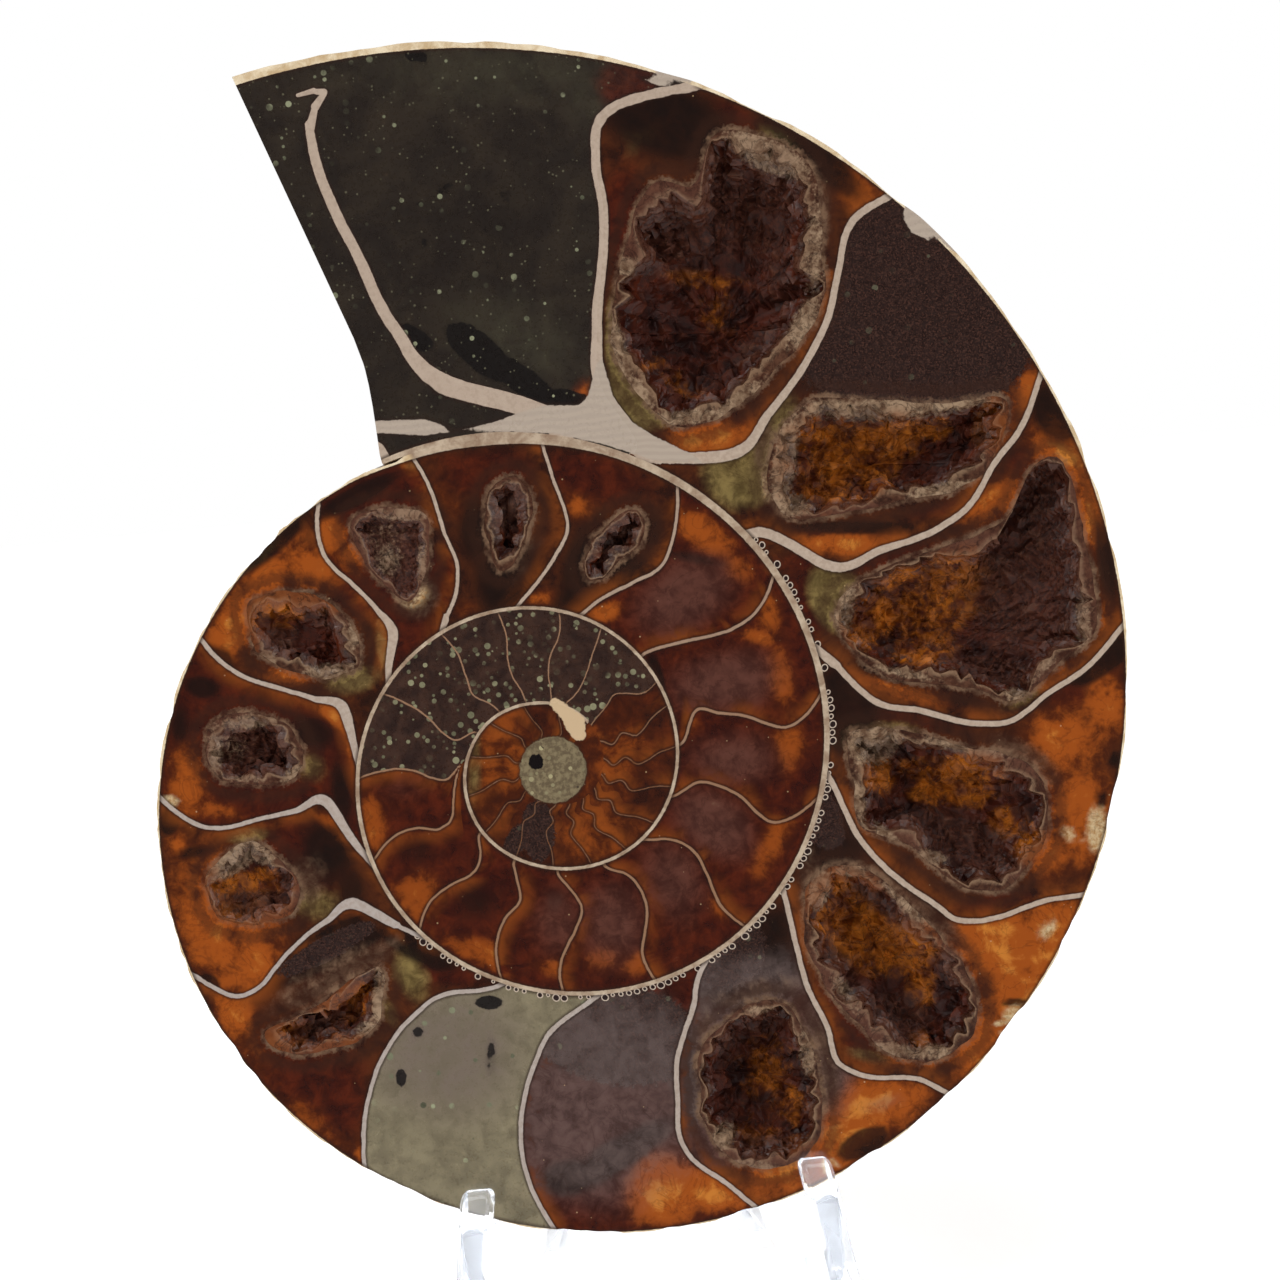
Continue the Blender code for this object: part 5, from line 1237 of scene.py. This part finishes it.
def crystal_lining(name, number):
    """One chamber's lining, still flat-lying in millimetres."""
    depth, crust, knots = HOLLOWS[name]
    deepest, crystal, spots = LININGS[name]
    rng = np.random.default_rng(40 + number)
    around = smooth_outline(knots, 200)
    length = np.hypot(*np.diff(np.vstack([around, around[:1]]), axis=0).T).sum()
    columns = int(np.clip(length / CORNER_STEP, 96, 400))
    inner_rows = int(np.clip((0.16 * length + depth) / CORNER_STEP, 24, 90))
    rows = HIDDEN_ROWS + RING_ROWS + inner_rows
    bpy.ops.mesh.primitive_grid_add(x_subdivisions=columns, y_subdivisions=rows, size=1.0, calc_uvs=False)
    lining = bpy.context.object
    lining.name = name + "_lining"
    spots_on_grid = corners_of(lining.data)
    turn = (spots_on_grid[:, 0] + 0.5) % 1.0
    row = np.round((spots_on_grid[:, 1] + 0.5) * rows).astype(int)

    outline = mouth_outline(name)
    middle = outline.mean(0)
    out = outline - middle
    reach = np.hypot(out[:, 0], out[:, 1])[:, None]
    seat = outline - out / reach * SEAT_SLACK
    sunk = np.radians(90.0) * np.clip(1.0 - row / HIDDEN_ROWS, 0.0, 1.0)
    places = bowl_places(seat, turn, sunk, depth - 0.15, WALL_LEFT + 0.15)
    places[:, 1] = np.maximum(places[:, 1], FLUSH)

    jag = crust * (0.55 + wobble(outline, 3.0, 0.8, number + 3) + wobble(outline, 1.1, 0.8, number + 5))
    edge = outline - out / reach * np.clip(jag, 0.25, 0.7 * reach[:, 0])[:, None]
    into = np.clip((row - HIDDEN_ROWS - RING_ROWS) / inner_rows, 0.0, 1.0)
    shrink = np.cos(0.5 * np.pi * into) ** 0.8
    at_edge = along(edge, turn)
    goal = np.asarray(deepest)
    inside = goal + (at_edge - goal) * shrink[:, None]
    uneven = wobble(inside, 3.5, 0.9, number + 9) * np.sin(np.pi * np.clip(into * 1.2, 0, 1))
    floor = np.minimum((depth - crust) * np.sin(0.5 * np.pi * into) ** 0.8 + uneven * 0.8,
                       stone_behind(inside[:, 0], inside[:, 1]) - WALL_LEFT - 0.7)
    bowl = np.stack([inside[:, 0], np.maximum(floor, FLUSH), inside[:, 1]], 1)

    order = np.lexsort((row, np.round((spots_on_grid[:, 0] + 0.5) * columns).astype(int)))
    grid = bowl[order].reshape(columns + 1, rows + 1, 3)
    lengthwise = np.gradient(grid, axis=0)
    lengthwise[[0, -1]] = grid[1] - grid[-2]
    upright = np.cross(lengthwise, np.gradient(grid, axis=1))
    upright /= np.maximum(np.linalg.norm(upright, axis=2, keepdims=True), 1e-9)
    inward = np.array([goal[0], 0.0, goal[1]]) - grid
    upright *= np.sign((upright * inward).sum(2, keepdims=True) + 1e-9)
    facing = np.empty_like(bowl)
    facing[order] = upright.reshape(-1, 3)

    inner = into > 0.0
    weight = (shrink + 0.12) * inner
    count = int(np.clip(0.9 * length * (0.16 * length + depth) / crystal ** 2 * 0.55, 60, 900))
    chosen = rng.choice(len(bowl), count, replace=False, p=weight / weight.sum())
    turned = rng.uniform(0, 2 * np.pi, count)
    normal = facing[chosen]
    helper = np.where(abs(normal[:, :1]) < 0.8, [[1.0, 0.0, 0.0]], [[0.0, 0.0, 1.0]])
    first = np.cross(normal, helper)
    first /= np.linalg.norm(first, axis=1, keepdims=True)
    second = np.cross(normal, first)
    sides = [np.cos(turned + k)[:, None] * first + np.sin(turned + k)[:, None] * second
             for k in np.radians((0, 120, 240))]
    heights = crystal * rng.uniform(0.35, 1.0, count)
    raised = np.zeros(len(bowl))
    raised[inner] = pyramids(bowl[inner], bowl[chosen], heights, rng.uniform(0.9, 1.7, count), sides)
    crystal_place = bowl + facing * (raised * np.clip(into * 14.0, 0.3, 1.0))[:, None]
    crystal_place[:, 1] = np.maximum(crystal_place[:, 1], FLUSH)

    ring_part = np.clip((row - HIDDEN_ROWS) / RING_ROWS, 0.0, 1.0)[:, None]
    by_column = np.round((spots_on_grid[:, 0] + 0.5) * columns).astype(int)
    rim = np.zeros((columns + 1, 3))
    on_edge = row == HIDDEN_ROWS + RING_ROWS
    rim[by_column[on_edge]] = crystal_place[on_edge]
    outer = along(seat, turn)
    ring_place = np.stack([outer[:, 0], np.full(len(outer), FLUSH), outer[:, 1]], 1)
    ring_place += (rim[by_column] - ring_place) * ring_part
    places = np.where((row > HIDDEN_ROWS)[:, None], ring_place, places)
    places = np.where(inner[:, None], crystal_place, places)
    move_corners(lining.data, places)

    tint = np.zeros((len(TINTS), len(places)))
    for mineral, *oval in spots:
        index = TINTS.index(mineral)
        tint[index] = np.maximum(tint[index], oval_field(places[:, 0], places[:, 2], *oval))
    for title, values in (("tint", tint), ("relief", (raised / crystal, into, ring_part[:, 0] * (row <= HIDDEN_ROWS + RING_ROWS)))):
        made = lining.data.attributes.new(title, "FLOAT_VECTOR", "POINT")
        made.data.foreach_set("vector", np.stack(values, 1).astype(np.float32).ravel())
    bpy.ops.object.mode_set(mode="EDIT")
    bpy.ops.mesh.select_all(action="SELECT")
    bpy.ops.mesh.remove_doubles(threshold=0.003)
    bpy.ops.mesh.normals_make_consistent(inside=False)
    bpy.ops.mesh.select_all(action="DESELECT")
    bpy.ops.object.mode_set(mode="OBJECT")
    return lining


linings = {name: crystal_lining(name, number) for number, name in enumerate(HOLLOWS, 1)}
print("linings:", {name: len(lining.data.polygons) for name, lining in linings.items()})

# %% [markdown]
# ## Calcite crystals
# The crystals are clear to smoky, on stone that iron stained maroon and amber. Little light comes
# back from the deep places, so the inside is dark and the sawn ring is the palest part. The tips
# and the ring's inner edge are painted paler, a painted highlight; the rest of the gloss comes
# from the facets' shapes, not from the colour.

# %% crystals
crystals, tree, place, shader = new_material("calcite_crystals")
wide = cloud(tree, place, 4.0, 4.0, 0.6, 0.5)
middling = cloud(tree, place, 1.3, 4.0, 0.62, 0.3)
fine = cloud(tree, place, 0.4, 3.0, 0.62)
amber_field, purple_field, pale_field = stored(tree, "tint")
tip, into, ring_share = stored(tree, "relief")
amber = use_group(tree, stain_group, Field=amber_field, Noise=middling, Raggedness=0.9, Softness=0.26)["Mask"]
purple = use_group(tree, stain_group, Field=purple_field, Noise=middling, Raggedness=0.9, Softness=0.28)["Mask"]
pale = use_group(tree, stain_group, Field=pale_field, Noise=fine, Raggedness=0.9, Softness=0.2)["Mask"]
on_ring = calc(tree, "GREATER_THAN", 0.001, into)

seen = blend(tree, ease(tree, wide, 0.35, 0.65), colour(40, 11, 6), colour(86, 33, 15))
# painted highlight: the crystals' tips are painted paler, by their height, as if they caught the light
seen = blend(tree, ease(tree, tip, 0.35, 1.0, 0.0, 0.5), seen, colour(100, 46, 22))
amber_tone = blend(tree, ease(tree, calc(tree, "MULTIPLY_ADD", wide, 0.6, calc(tree, "MULTIPLY", middling, 0.4)), 0.38, 0.62), colour(86, 33, 8), colour(188, 106, 24))
seen = blend(tree, amber, seen, amber_tone)
purple_tone = blend(tree, ease(tree, fine, 0.34, 0.68), colour(50, 20, 12), colour(92, 50, 34))
# painted highlight: the tips of the purple crystals are painted paler too
purple_tone = blend(tree, ease(tree, tip, 0.5, 1.0, 0.0, 0.5), purple_tone, colour(112, 78, 60))
seen = blend(tree, calc(tree, "MULTIPLY", purple, 0.85), seen, purple_tone)
ring_tone = blend(tree, ease(tree, calc(tree, "MULTIPLY_ADD", fine, 0.4, calc(tree, "MULTIPLY", middling, 0.6)), 0.36, 0.66), colour(54, 29, 19), colour(96, 64, 47))
# painted highlight: the crust ring is painted paler towards its inner edge at the hollow, over the crust's own grey
ring_tone = blend(tree, ease(tree, calc(tree, "MULTIPLY_ADD", fine, 0.5, ring_share), 0.7, 1.3), ring_tone, colour(138, 110, 86))
ring_tone = blend(tree, pale, ring_tone, blend(tree, ease(tree, calc(tree, "MULTIPLY_ADD", fine, 0.3, calc(tree, "MULTIPLY", middling, 0.7)), 0.36, 0.64), colour(92, 66, 48), colour(160, 134, 108)))
seen = blend(tree, calc(tree, "MULTIPLY", pale, 0.8), seen, ring_tone)
ring_tone = blend(tree, calc(tree, "MULTIPLY", purple, 0.4), ring_tone, colour(100, 62, 50))
ring_tone = blend(tree, calc(tree, "MULTIPLY", amber, 0.6), ring_tone, colour(124, 64, 28))
near_ring = ease(tree, into, 0.0, 0.12, 0.9, 0.0)
seen = blend(tree, near_ring, seen, ring_tone)
cracks = ease(tree, calc(tree, "ABSOLUTE", calc(tree, "SUBTRACT", cloud(tree, place, 2.2, 4.0, 0.6, 1.0), 0.5)), 0.0, 0.03, 1.0, 0.0)
seen = blend(tree, calc(tree, "MULTIPLY", cracks, 0.6), seen, colour(36, 17, 11))
tree.links.new(seen, shader.inputs["Base Color"])
gloss = calc(tree, "MULTIPLY_ADD", ease(tree, into, 0.1, 0.5), 0.25, ease(tree, fine, 0.3, 0.7, 0.24, 0.46))
gloss = blend(tree, on_ring, gloss, (0.3, 0.3, 0.3, 1.0))
tree.links.new(gloss, shader.inputs["Roughness"])
bump = add_node(tree, "Bump", {"Strength": 0.35, "Distance": 0.15 * MM, "Height": fine})
tree.links.new(bump.outputs["Normal"], shader.inputs["Normal"])
shader.inputs["Specular IOR Level"].default_value = 0.28


def planar_uv(mesh, hidden):
    """Lays the bake's UV map flat on the section, so that fine lines stay sharp. Faces that don't
    show from the front get a narrow strip of their own at its side."""
    places = corners_of(mesh)
    low, high = places.min(0), places.max(0)
    scale = min(0.84 / (high[0] - low[0]), 0.98 / (high[2] - low[2]))
    corner = np.empty(len(mesh.loops), int)
    mesh.loops.foreach_get("vertex_index", corner)
    sizes = np.empty(len(mesh.polygons), int)
    mesh.polygons.foreach_get("loop_total", sizes)
    aside = np.repeat(hidden, sizes)
    flat = 0.01 + scale * np.stack([places[corner, 0] - low[0], places[corner, 2] - low[2]], 1)
    shrunk = 0.12 / (high[0] - low[0])
    flat[aside, 0] = 0.87 + shrunk * (places[corner[aside], 0] - low[0])
    layer = mesh.uv_layers.new(name="OFBake")
    layer.data.foreach_set("uv", flat.astype(np.float32).ravel())


for name, lining in linings.items():
    lining.data.materials.append(crystals)
    relief = np.empty(len(lining.data.vertices) * 3, np.float32)
    lining.data.attributes["relief"].data.foreach_get("vector", relief)
    on_bowl = (relief.reshape(-1, 3)[:, 1:] == 0.0).all(1)
    planar_uv(lining.data, np.array([all(on_bowl[v] for v in p.vertices) for p in lining.data.polygons]))
    lining.data.transform(PLACE)
    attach(lining, "root")
    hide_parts(name + "_crystals")
print("crystal material:", len(tree.nodes), "nodes")

# %% [markdown]
# ## The shell's back
# Behind the section is the outside of the shell: a low spiral dish with a sunken centre, crossed
# by faint sickle-shaped ribs. A grid is wound round the coil once, its rows running from the
# centre along the inside to the rim and back over the outside. Where the turn ends, at the
# aperture, the last column falls back on the first and so closes the shell's broken edge.

# %% wind the dish
DISH_COLUMNS = 360
END_COLUMNS = 14                          # across the broken edge
INSIDE_ROWS = 14
OUTSIDE_ROWS = 76
DISH_WALL = 1.2
RIB_SPACING = 7.5                         # degrees of growth
RIB_RELIEF = 0.22
EDGE_FADE = 25.0                          # degrees over which the aperture's curve dies out

ALL_COLUMNS = DISH_COLUMNS + END_COLUMNS
bpy.ops.mesh.primitive_grid_add(x_subdivisions=ALL_COLUMNS, y_subdivisions=INSIDE_ROWS + OUTSIDE_ROWS,
                                size=1.0, calc_uvs=False)
dish = bpy.context.object
dish.name = "shell_back"
flat = corners_of(dish.data)
column = np.round((flat[:, 0] + 0.5) * ALL_COLUMNS).astype(int)
row = np.round((flat[:, 1] + 0.5) * (INSIDE_ROWS + OUTSIDE_ROWS)).astype(int)
growth = APERTURE - TURN + TURN * np.minimum(column, DISH_COLUMNS) / DISH_COLUMNS
back_to_start = np.clip((column - DISH_COLUMNS) / END_COLUMNS, 0.0, 1.0)
outside = row >= INSIDE_ROWS
part = np.where(outside, (INSIDE_ROWS + OUTSIDE_ROWS - row) / OUTSIDE_ROWS, row / INSIDE_ROWS)
share = np.sin(0.5 * np.pi * part) ** 0.9
radius = share * wall_radius(growth) * 0.995
first_radius = share * wall_radius(APERTURE - TURN) * 0.995
radius -= worn_away(growth) * share ** 12
fade = np.clip(1.0 - np.minimum(APERTURE - growth, growth - APERTURE + TURN) / EDGE_FADE, 0.0, 1.0)
depth = flank_depth(growth, radius)
first_depth = flank_depth(np.full(len(radius), APERTURE - TURN), first_radius)
radius = radius + (first_radius - radius) * back_to_start
angle = np.radians(growth + (aperture_angle(radius) - APERTURE) * fade)
depth = depth + (first_depth - depth) * back_to_start
sickle = growth + 14.0 * np.sin(2.6 * share) - 26.0 * np.clip(share - 0.72, 0.0, 1.0)
ribs = 0.5 - 0.5 * np.cos(2 * np.pi * sickle / RIB_SPACING)
swell = np.clip((share - 0.35) / 0.3, 0.0, 1.0) * np.clip((1.0 - share) / 0.04, 0.0, 1.0)
depth = depth - RIB_RELIEF * ribs * swell * outside
y = np.maximum(np.where(outside, depth, depth - DISH_WALL), FACE_SLAB)
move_corners(dish.data, np.stack([radius * np.cos(angle), y, radius * np.sin(angle)], 1))
made = dish.data.attributes.new("coil", "FLOAT_VECTOR", "POINT")
made.data.foreach_set("vector", np.stack([sickle / RIB_SPACING, share, depth], 1).astype(np.float32).ravel())
bpy.ops.object.mode_set(mode="EDIT")
bpy.ops.mesh.select_all(action="SELECT")
bpy.ops.mesh.remove_doubles(threshold=0.004)
bpy.ops.mesh.normals_make_consistent(inside=False)
bpy.ops.mesh.select_all(action="DESELECT")
bpy.ops.object.mode_set(mode="OBJECT")
bpy.ops.object.shade_smooth_by_angle(angle=math.radians(35.0))
print("shell back:", len(dish.data.polygons), "faces")

# %% [markdown]
# ## The shell's surface
# The outside keeps its mother-of-pearl: cream to tan, with fine lines of growth along the ribs,
# rust and greenish patches, and the leafy sutures showing where it wore thin. The broken edge at
# the aperture shows the hard dark silt inside.

# %% shell and silt
shell, tree, place, shader = new_material("shell_nacre")
wide = cloud(tree, place, 14.0, 4.0, 0.6, 0.8)
middling = cloud(tree, place, 3.0, 5.0, 0.6, 0.5)
fine = cloud(tree, place, 0.5, 3.0, 0.6)
rib_phase, rib_share, deep = stored(tree, "coil")
seen = blend(tree, ease(tree, wide, 0.3, 0.7), colour(196, 166, 126), colour(160, 120, 80))
seen = blend(tree, ease(tree, middling, 0.5, 0.72, 0.0, 0.55), seen, colour(146, 98, 58))
green = calc(tree, "MULTIPLY", ease(tree, wide, 0.56, 0.7), ease(tree, middling, 0.4, 0.6))
seen = blend(tree, calc(tree, "MULTIPLY", green, 0.4), seen, colour(150, 156, 116))
striae = calc(tree, "SINE", calc(tree, "MULTIPLY_ADD", rib_phase, 44.0, calc(tree, "MULTIPLY", middling, 6.0)))
seen = blend(tree, ease(tree, striae, 0.2, 1.0, 0.0, 0.22), seen, colour(120, 84, 56))
rib = calc(tree, "COSINE", calc(tree, "MULTIPLY", rib_phase, 2 * math.pi))
seen = blend(tree, ease(tree, rib, 0.0, 1.0, 0.0, 0.2), seen, colour(222, 200, 166))
leafy = calc(tree, "MULTIPLY_ADD", calc(tree, "SUBTRACT", cloud(tree, place, 5.0, 5.0, 0.75, 0.2), 0.5), 2.6,
             calc(tree, "DIVIDE", rib_phase, 2.8))
suture = calc(tree, "ABSOLUTE", calc(tree, "SUBTRACT", leafy, calc(tree, "ROUND", leafy)))
worn = calc(tree, "MULTIPLY", ease(tree, wide, 0.42, 0.56), ease(tree, rib_share, 0.3, 0.5))
seen = blend(tree, calc(tree, "MULTIPLY", ease(tree, suture, 0.0, 0.05, 1.0, 0.0), calc(tree, "MULTIPLY", worn, 0.75)), seen, colour(84, 50, 32))
seen = blend(tree, ease(tree, rib_share, 0.97, 0.992), seen, colour(228, 208, 172))
tree.links.new(seen, shader.inputs["Base Color"])
tree.links.new(ease(tree, fine, 0.2, 0.8, 0.22, 0.42), shader.inputs["Roughness"])
shader.inputs["Coat Weight"].default_value = 0.25
bump = add_node(tree, "Bump", {"Strength": 0.3, "Distance": 0.12 * MM,
                               "Height": calc(tree, "MULTIPLY_ADD", striae, 0.35, fine)})
tree.links.new(bump.outputs["Normal"], shader.inputs["Normal"])

silt_edge, tree, place, shader = new_material("silt_filling")
middling = cloud(tree, place, 2.0, 4.0, 0.6)
fine = cloud(tree, place, 0.3, 3.0, 0.65)
grit = use_group(tree, grain_group, Place=place, Size=0.9, Share=0.15, Radius=0.42)
seen = blend(tree, ease(tree, middling, 0.3, 0.7), colour(38, 32, 25), colour(62, 55, 42))
seen = blend(tree, calc(tree, "MULTIPLY", grit["Mask"], 0.7), seen, colour(120, 118, 92))
tree.links.new(seen, shader.inputs["Base Color"])
shader.inputs["Roughness"].default_value = 0.62
bump = add_node(tree, "Bump", {"Strength": 0.5, "Distance": 0.2 * MM, "Height": fine})
tree.links.new(bump.outputs["Normal"], shader.inputs["Normal"])

# %% finish face and back
aim = np.radians(APERTURE)
dish.data.materials.append(shell)
dish.data.materials.append(silt_edge)
for polygon in dish.data.polygons:
    spot = polygon.center
    turned = (math.degrees(math.atan2(spot.z, spot.x)) - (APERTURE - TURN * 3)) % TURN
    across = abs(polygon.normal.x * -math.sin(aim) + polygon.normal.z * math.cos(aim))
    if across > 0.8 and (turned < 7.0 or turned > 358.0) and math.hypot(spot.x, spot.z) > 30.0:
        polygon.material_index = 1
        polygon.use_smooth = False
face.data.materials.append(shell)
for polygon in face.data.polygons:
    spot = polygon.center
    if polygon.normal.y > 0.9 or abs(polygon.normal.y) < 0.6 and math.hypot(spot.x, spot.z) > 0.975 * wall_radius(growth_of(spot.x, spot.z)):
        polygon.material_index = 1
print("rim faces of shell:", sum(p.material_index == 1 for p in face.data.polygons),
      "silt faces:", sum(p.material_index == 1 for p in dish.data.polygons))
planar_uv(face.data, np.array([p.normal.y > -0.5 for p in face.data.polygons]))
for piece in (face, dish):
    piece.data.transform(PLACE)
    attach(piece, "root")
    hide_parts("fossil")
bpy.data.objects.remove(lip)

# %% [markdown]
# ## The clear easel
# The stand is moulded in clear plastic: two curved arms with a hook in front and a rest behind,
# tied by a web and a bar. Moulded edges are never sharp, so each imported solid is copied, its loose
# triangles are merged back into plain faces and a small bevel rounds the edges. Light passes
# through and bends. Where a ray has bounced many times inside, the plastic glows pale blue-white,
# a painted glow in place of light from the bright table, so the edges stay brighter than the flat sides.

# %% rounded edges and clear plastic
DEEP_BOUNCES = 5                          # light that bounced more inside comes from the bright table
clear, tree, place, shader = new_material("clear_plastic")
shader.inputs["Base Color"].default_value = (0.965, 0.98, 1.0, 1.0)
shader.inputs["Transmission Weight"].default_value = 0.9
shader.inputs["IOR"].default_value = 1.49
# painted glow: past DEEP_BOUNCES bounces the plastic emits a pale blue-white, standing in for light from the bright
# table
bounced = calc(tree, "GREATER_THAN", tree.nodes.new("ShaderNodeLightPath").outputs["Ray Depth"], DEEP_BOUNCES + 0.5)
tree.links.new(blend(tree, bounced, (0.0, 0.0, 0.0, 1.0), (0.68, 0.74, 0.84, 1.0)), shader.inputs["Emission Color"])
shader.inputs["Emission Strength"].default_value = 1.0
scuffs = cloud(tree, place, 2.5, 5.0, 0.6, 0.6)
tree.links.new(ease(tree, scuffs, 0.45, 0.75, 0.015, 0.1), shader.inputs["Roughness"])
waves = cloud(tree, place, 9.0, 2.0, 0.5)
bump = add_node(tree, "Bump", {"Strength": 0.05, "Distance": 0.3 * MM, "Height": waves})
tree.links.new(bump.outputs["Normal"], shader.inputs["Normal"])

EDGE_ROUNDING = 0.35
for name in ("easel_left_arm", "easel_right_arm", "easel_front_web", "easel_tie_bar"):
    solid = bpy.data.objects[name]
    bpy.ops.object.select_all(action="DESELECT")
    moulded = bpy.data.objects.new(name + "_moulded", solid.data.copy())
    bpy.context.scene.collection.objects.link(moulded)
    moulded.matrix_world = solid.matrix_world
    bpy.context.view_layer.objects.active = moulded
    moulded.select_set(True)
    bpy.ops.object.mode_set(mode="EDIT")
    bpy.ops.mesh.select_all(action="SELECT")
    bpy.ops.mesh.remove_doubles(threshold=0.00001)
    bpy.ops.mesh.dissolve_limited(angle_limit=math.radians(2.0))
    bpy.ops.mesh.normals_make_consistent(inside=False)
    bpy.ops.mesh.select_all(action="DESELECT")
    bpy.ops.object.mode_set(mode="OBJECT")
    rounding = moulded.modifiers.new("rounded_edges", "BEVEL")
    rounding.width = EDGE_ROUNDING * MM
    rounding.segments = 3
    rounding.limit_method = "ANGLE"
    rounding.angle_limit = math.radians(40.0)
    bpy.ops.object.modifier_apply(modifier="rounded_edges")
    bpy.ops.object.shade_smooth_by_angle(angle=math.radians(30.0))
    moulded.data.materials.clear()
    moulded.data.materials.append(clear)
    for polygon in moulded.data.polygons:
        polygon.material_index = 0
    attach(moulded, "root")
    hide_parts(name)
    print(moulded.name, len(moulded.data.polygons), "faces")
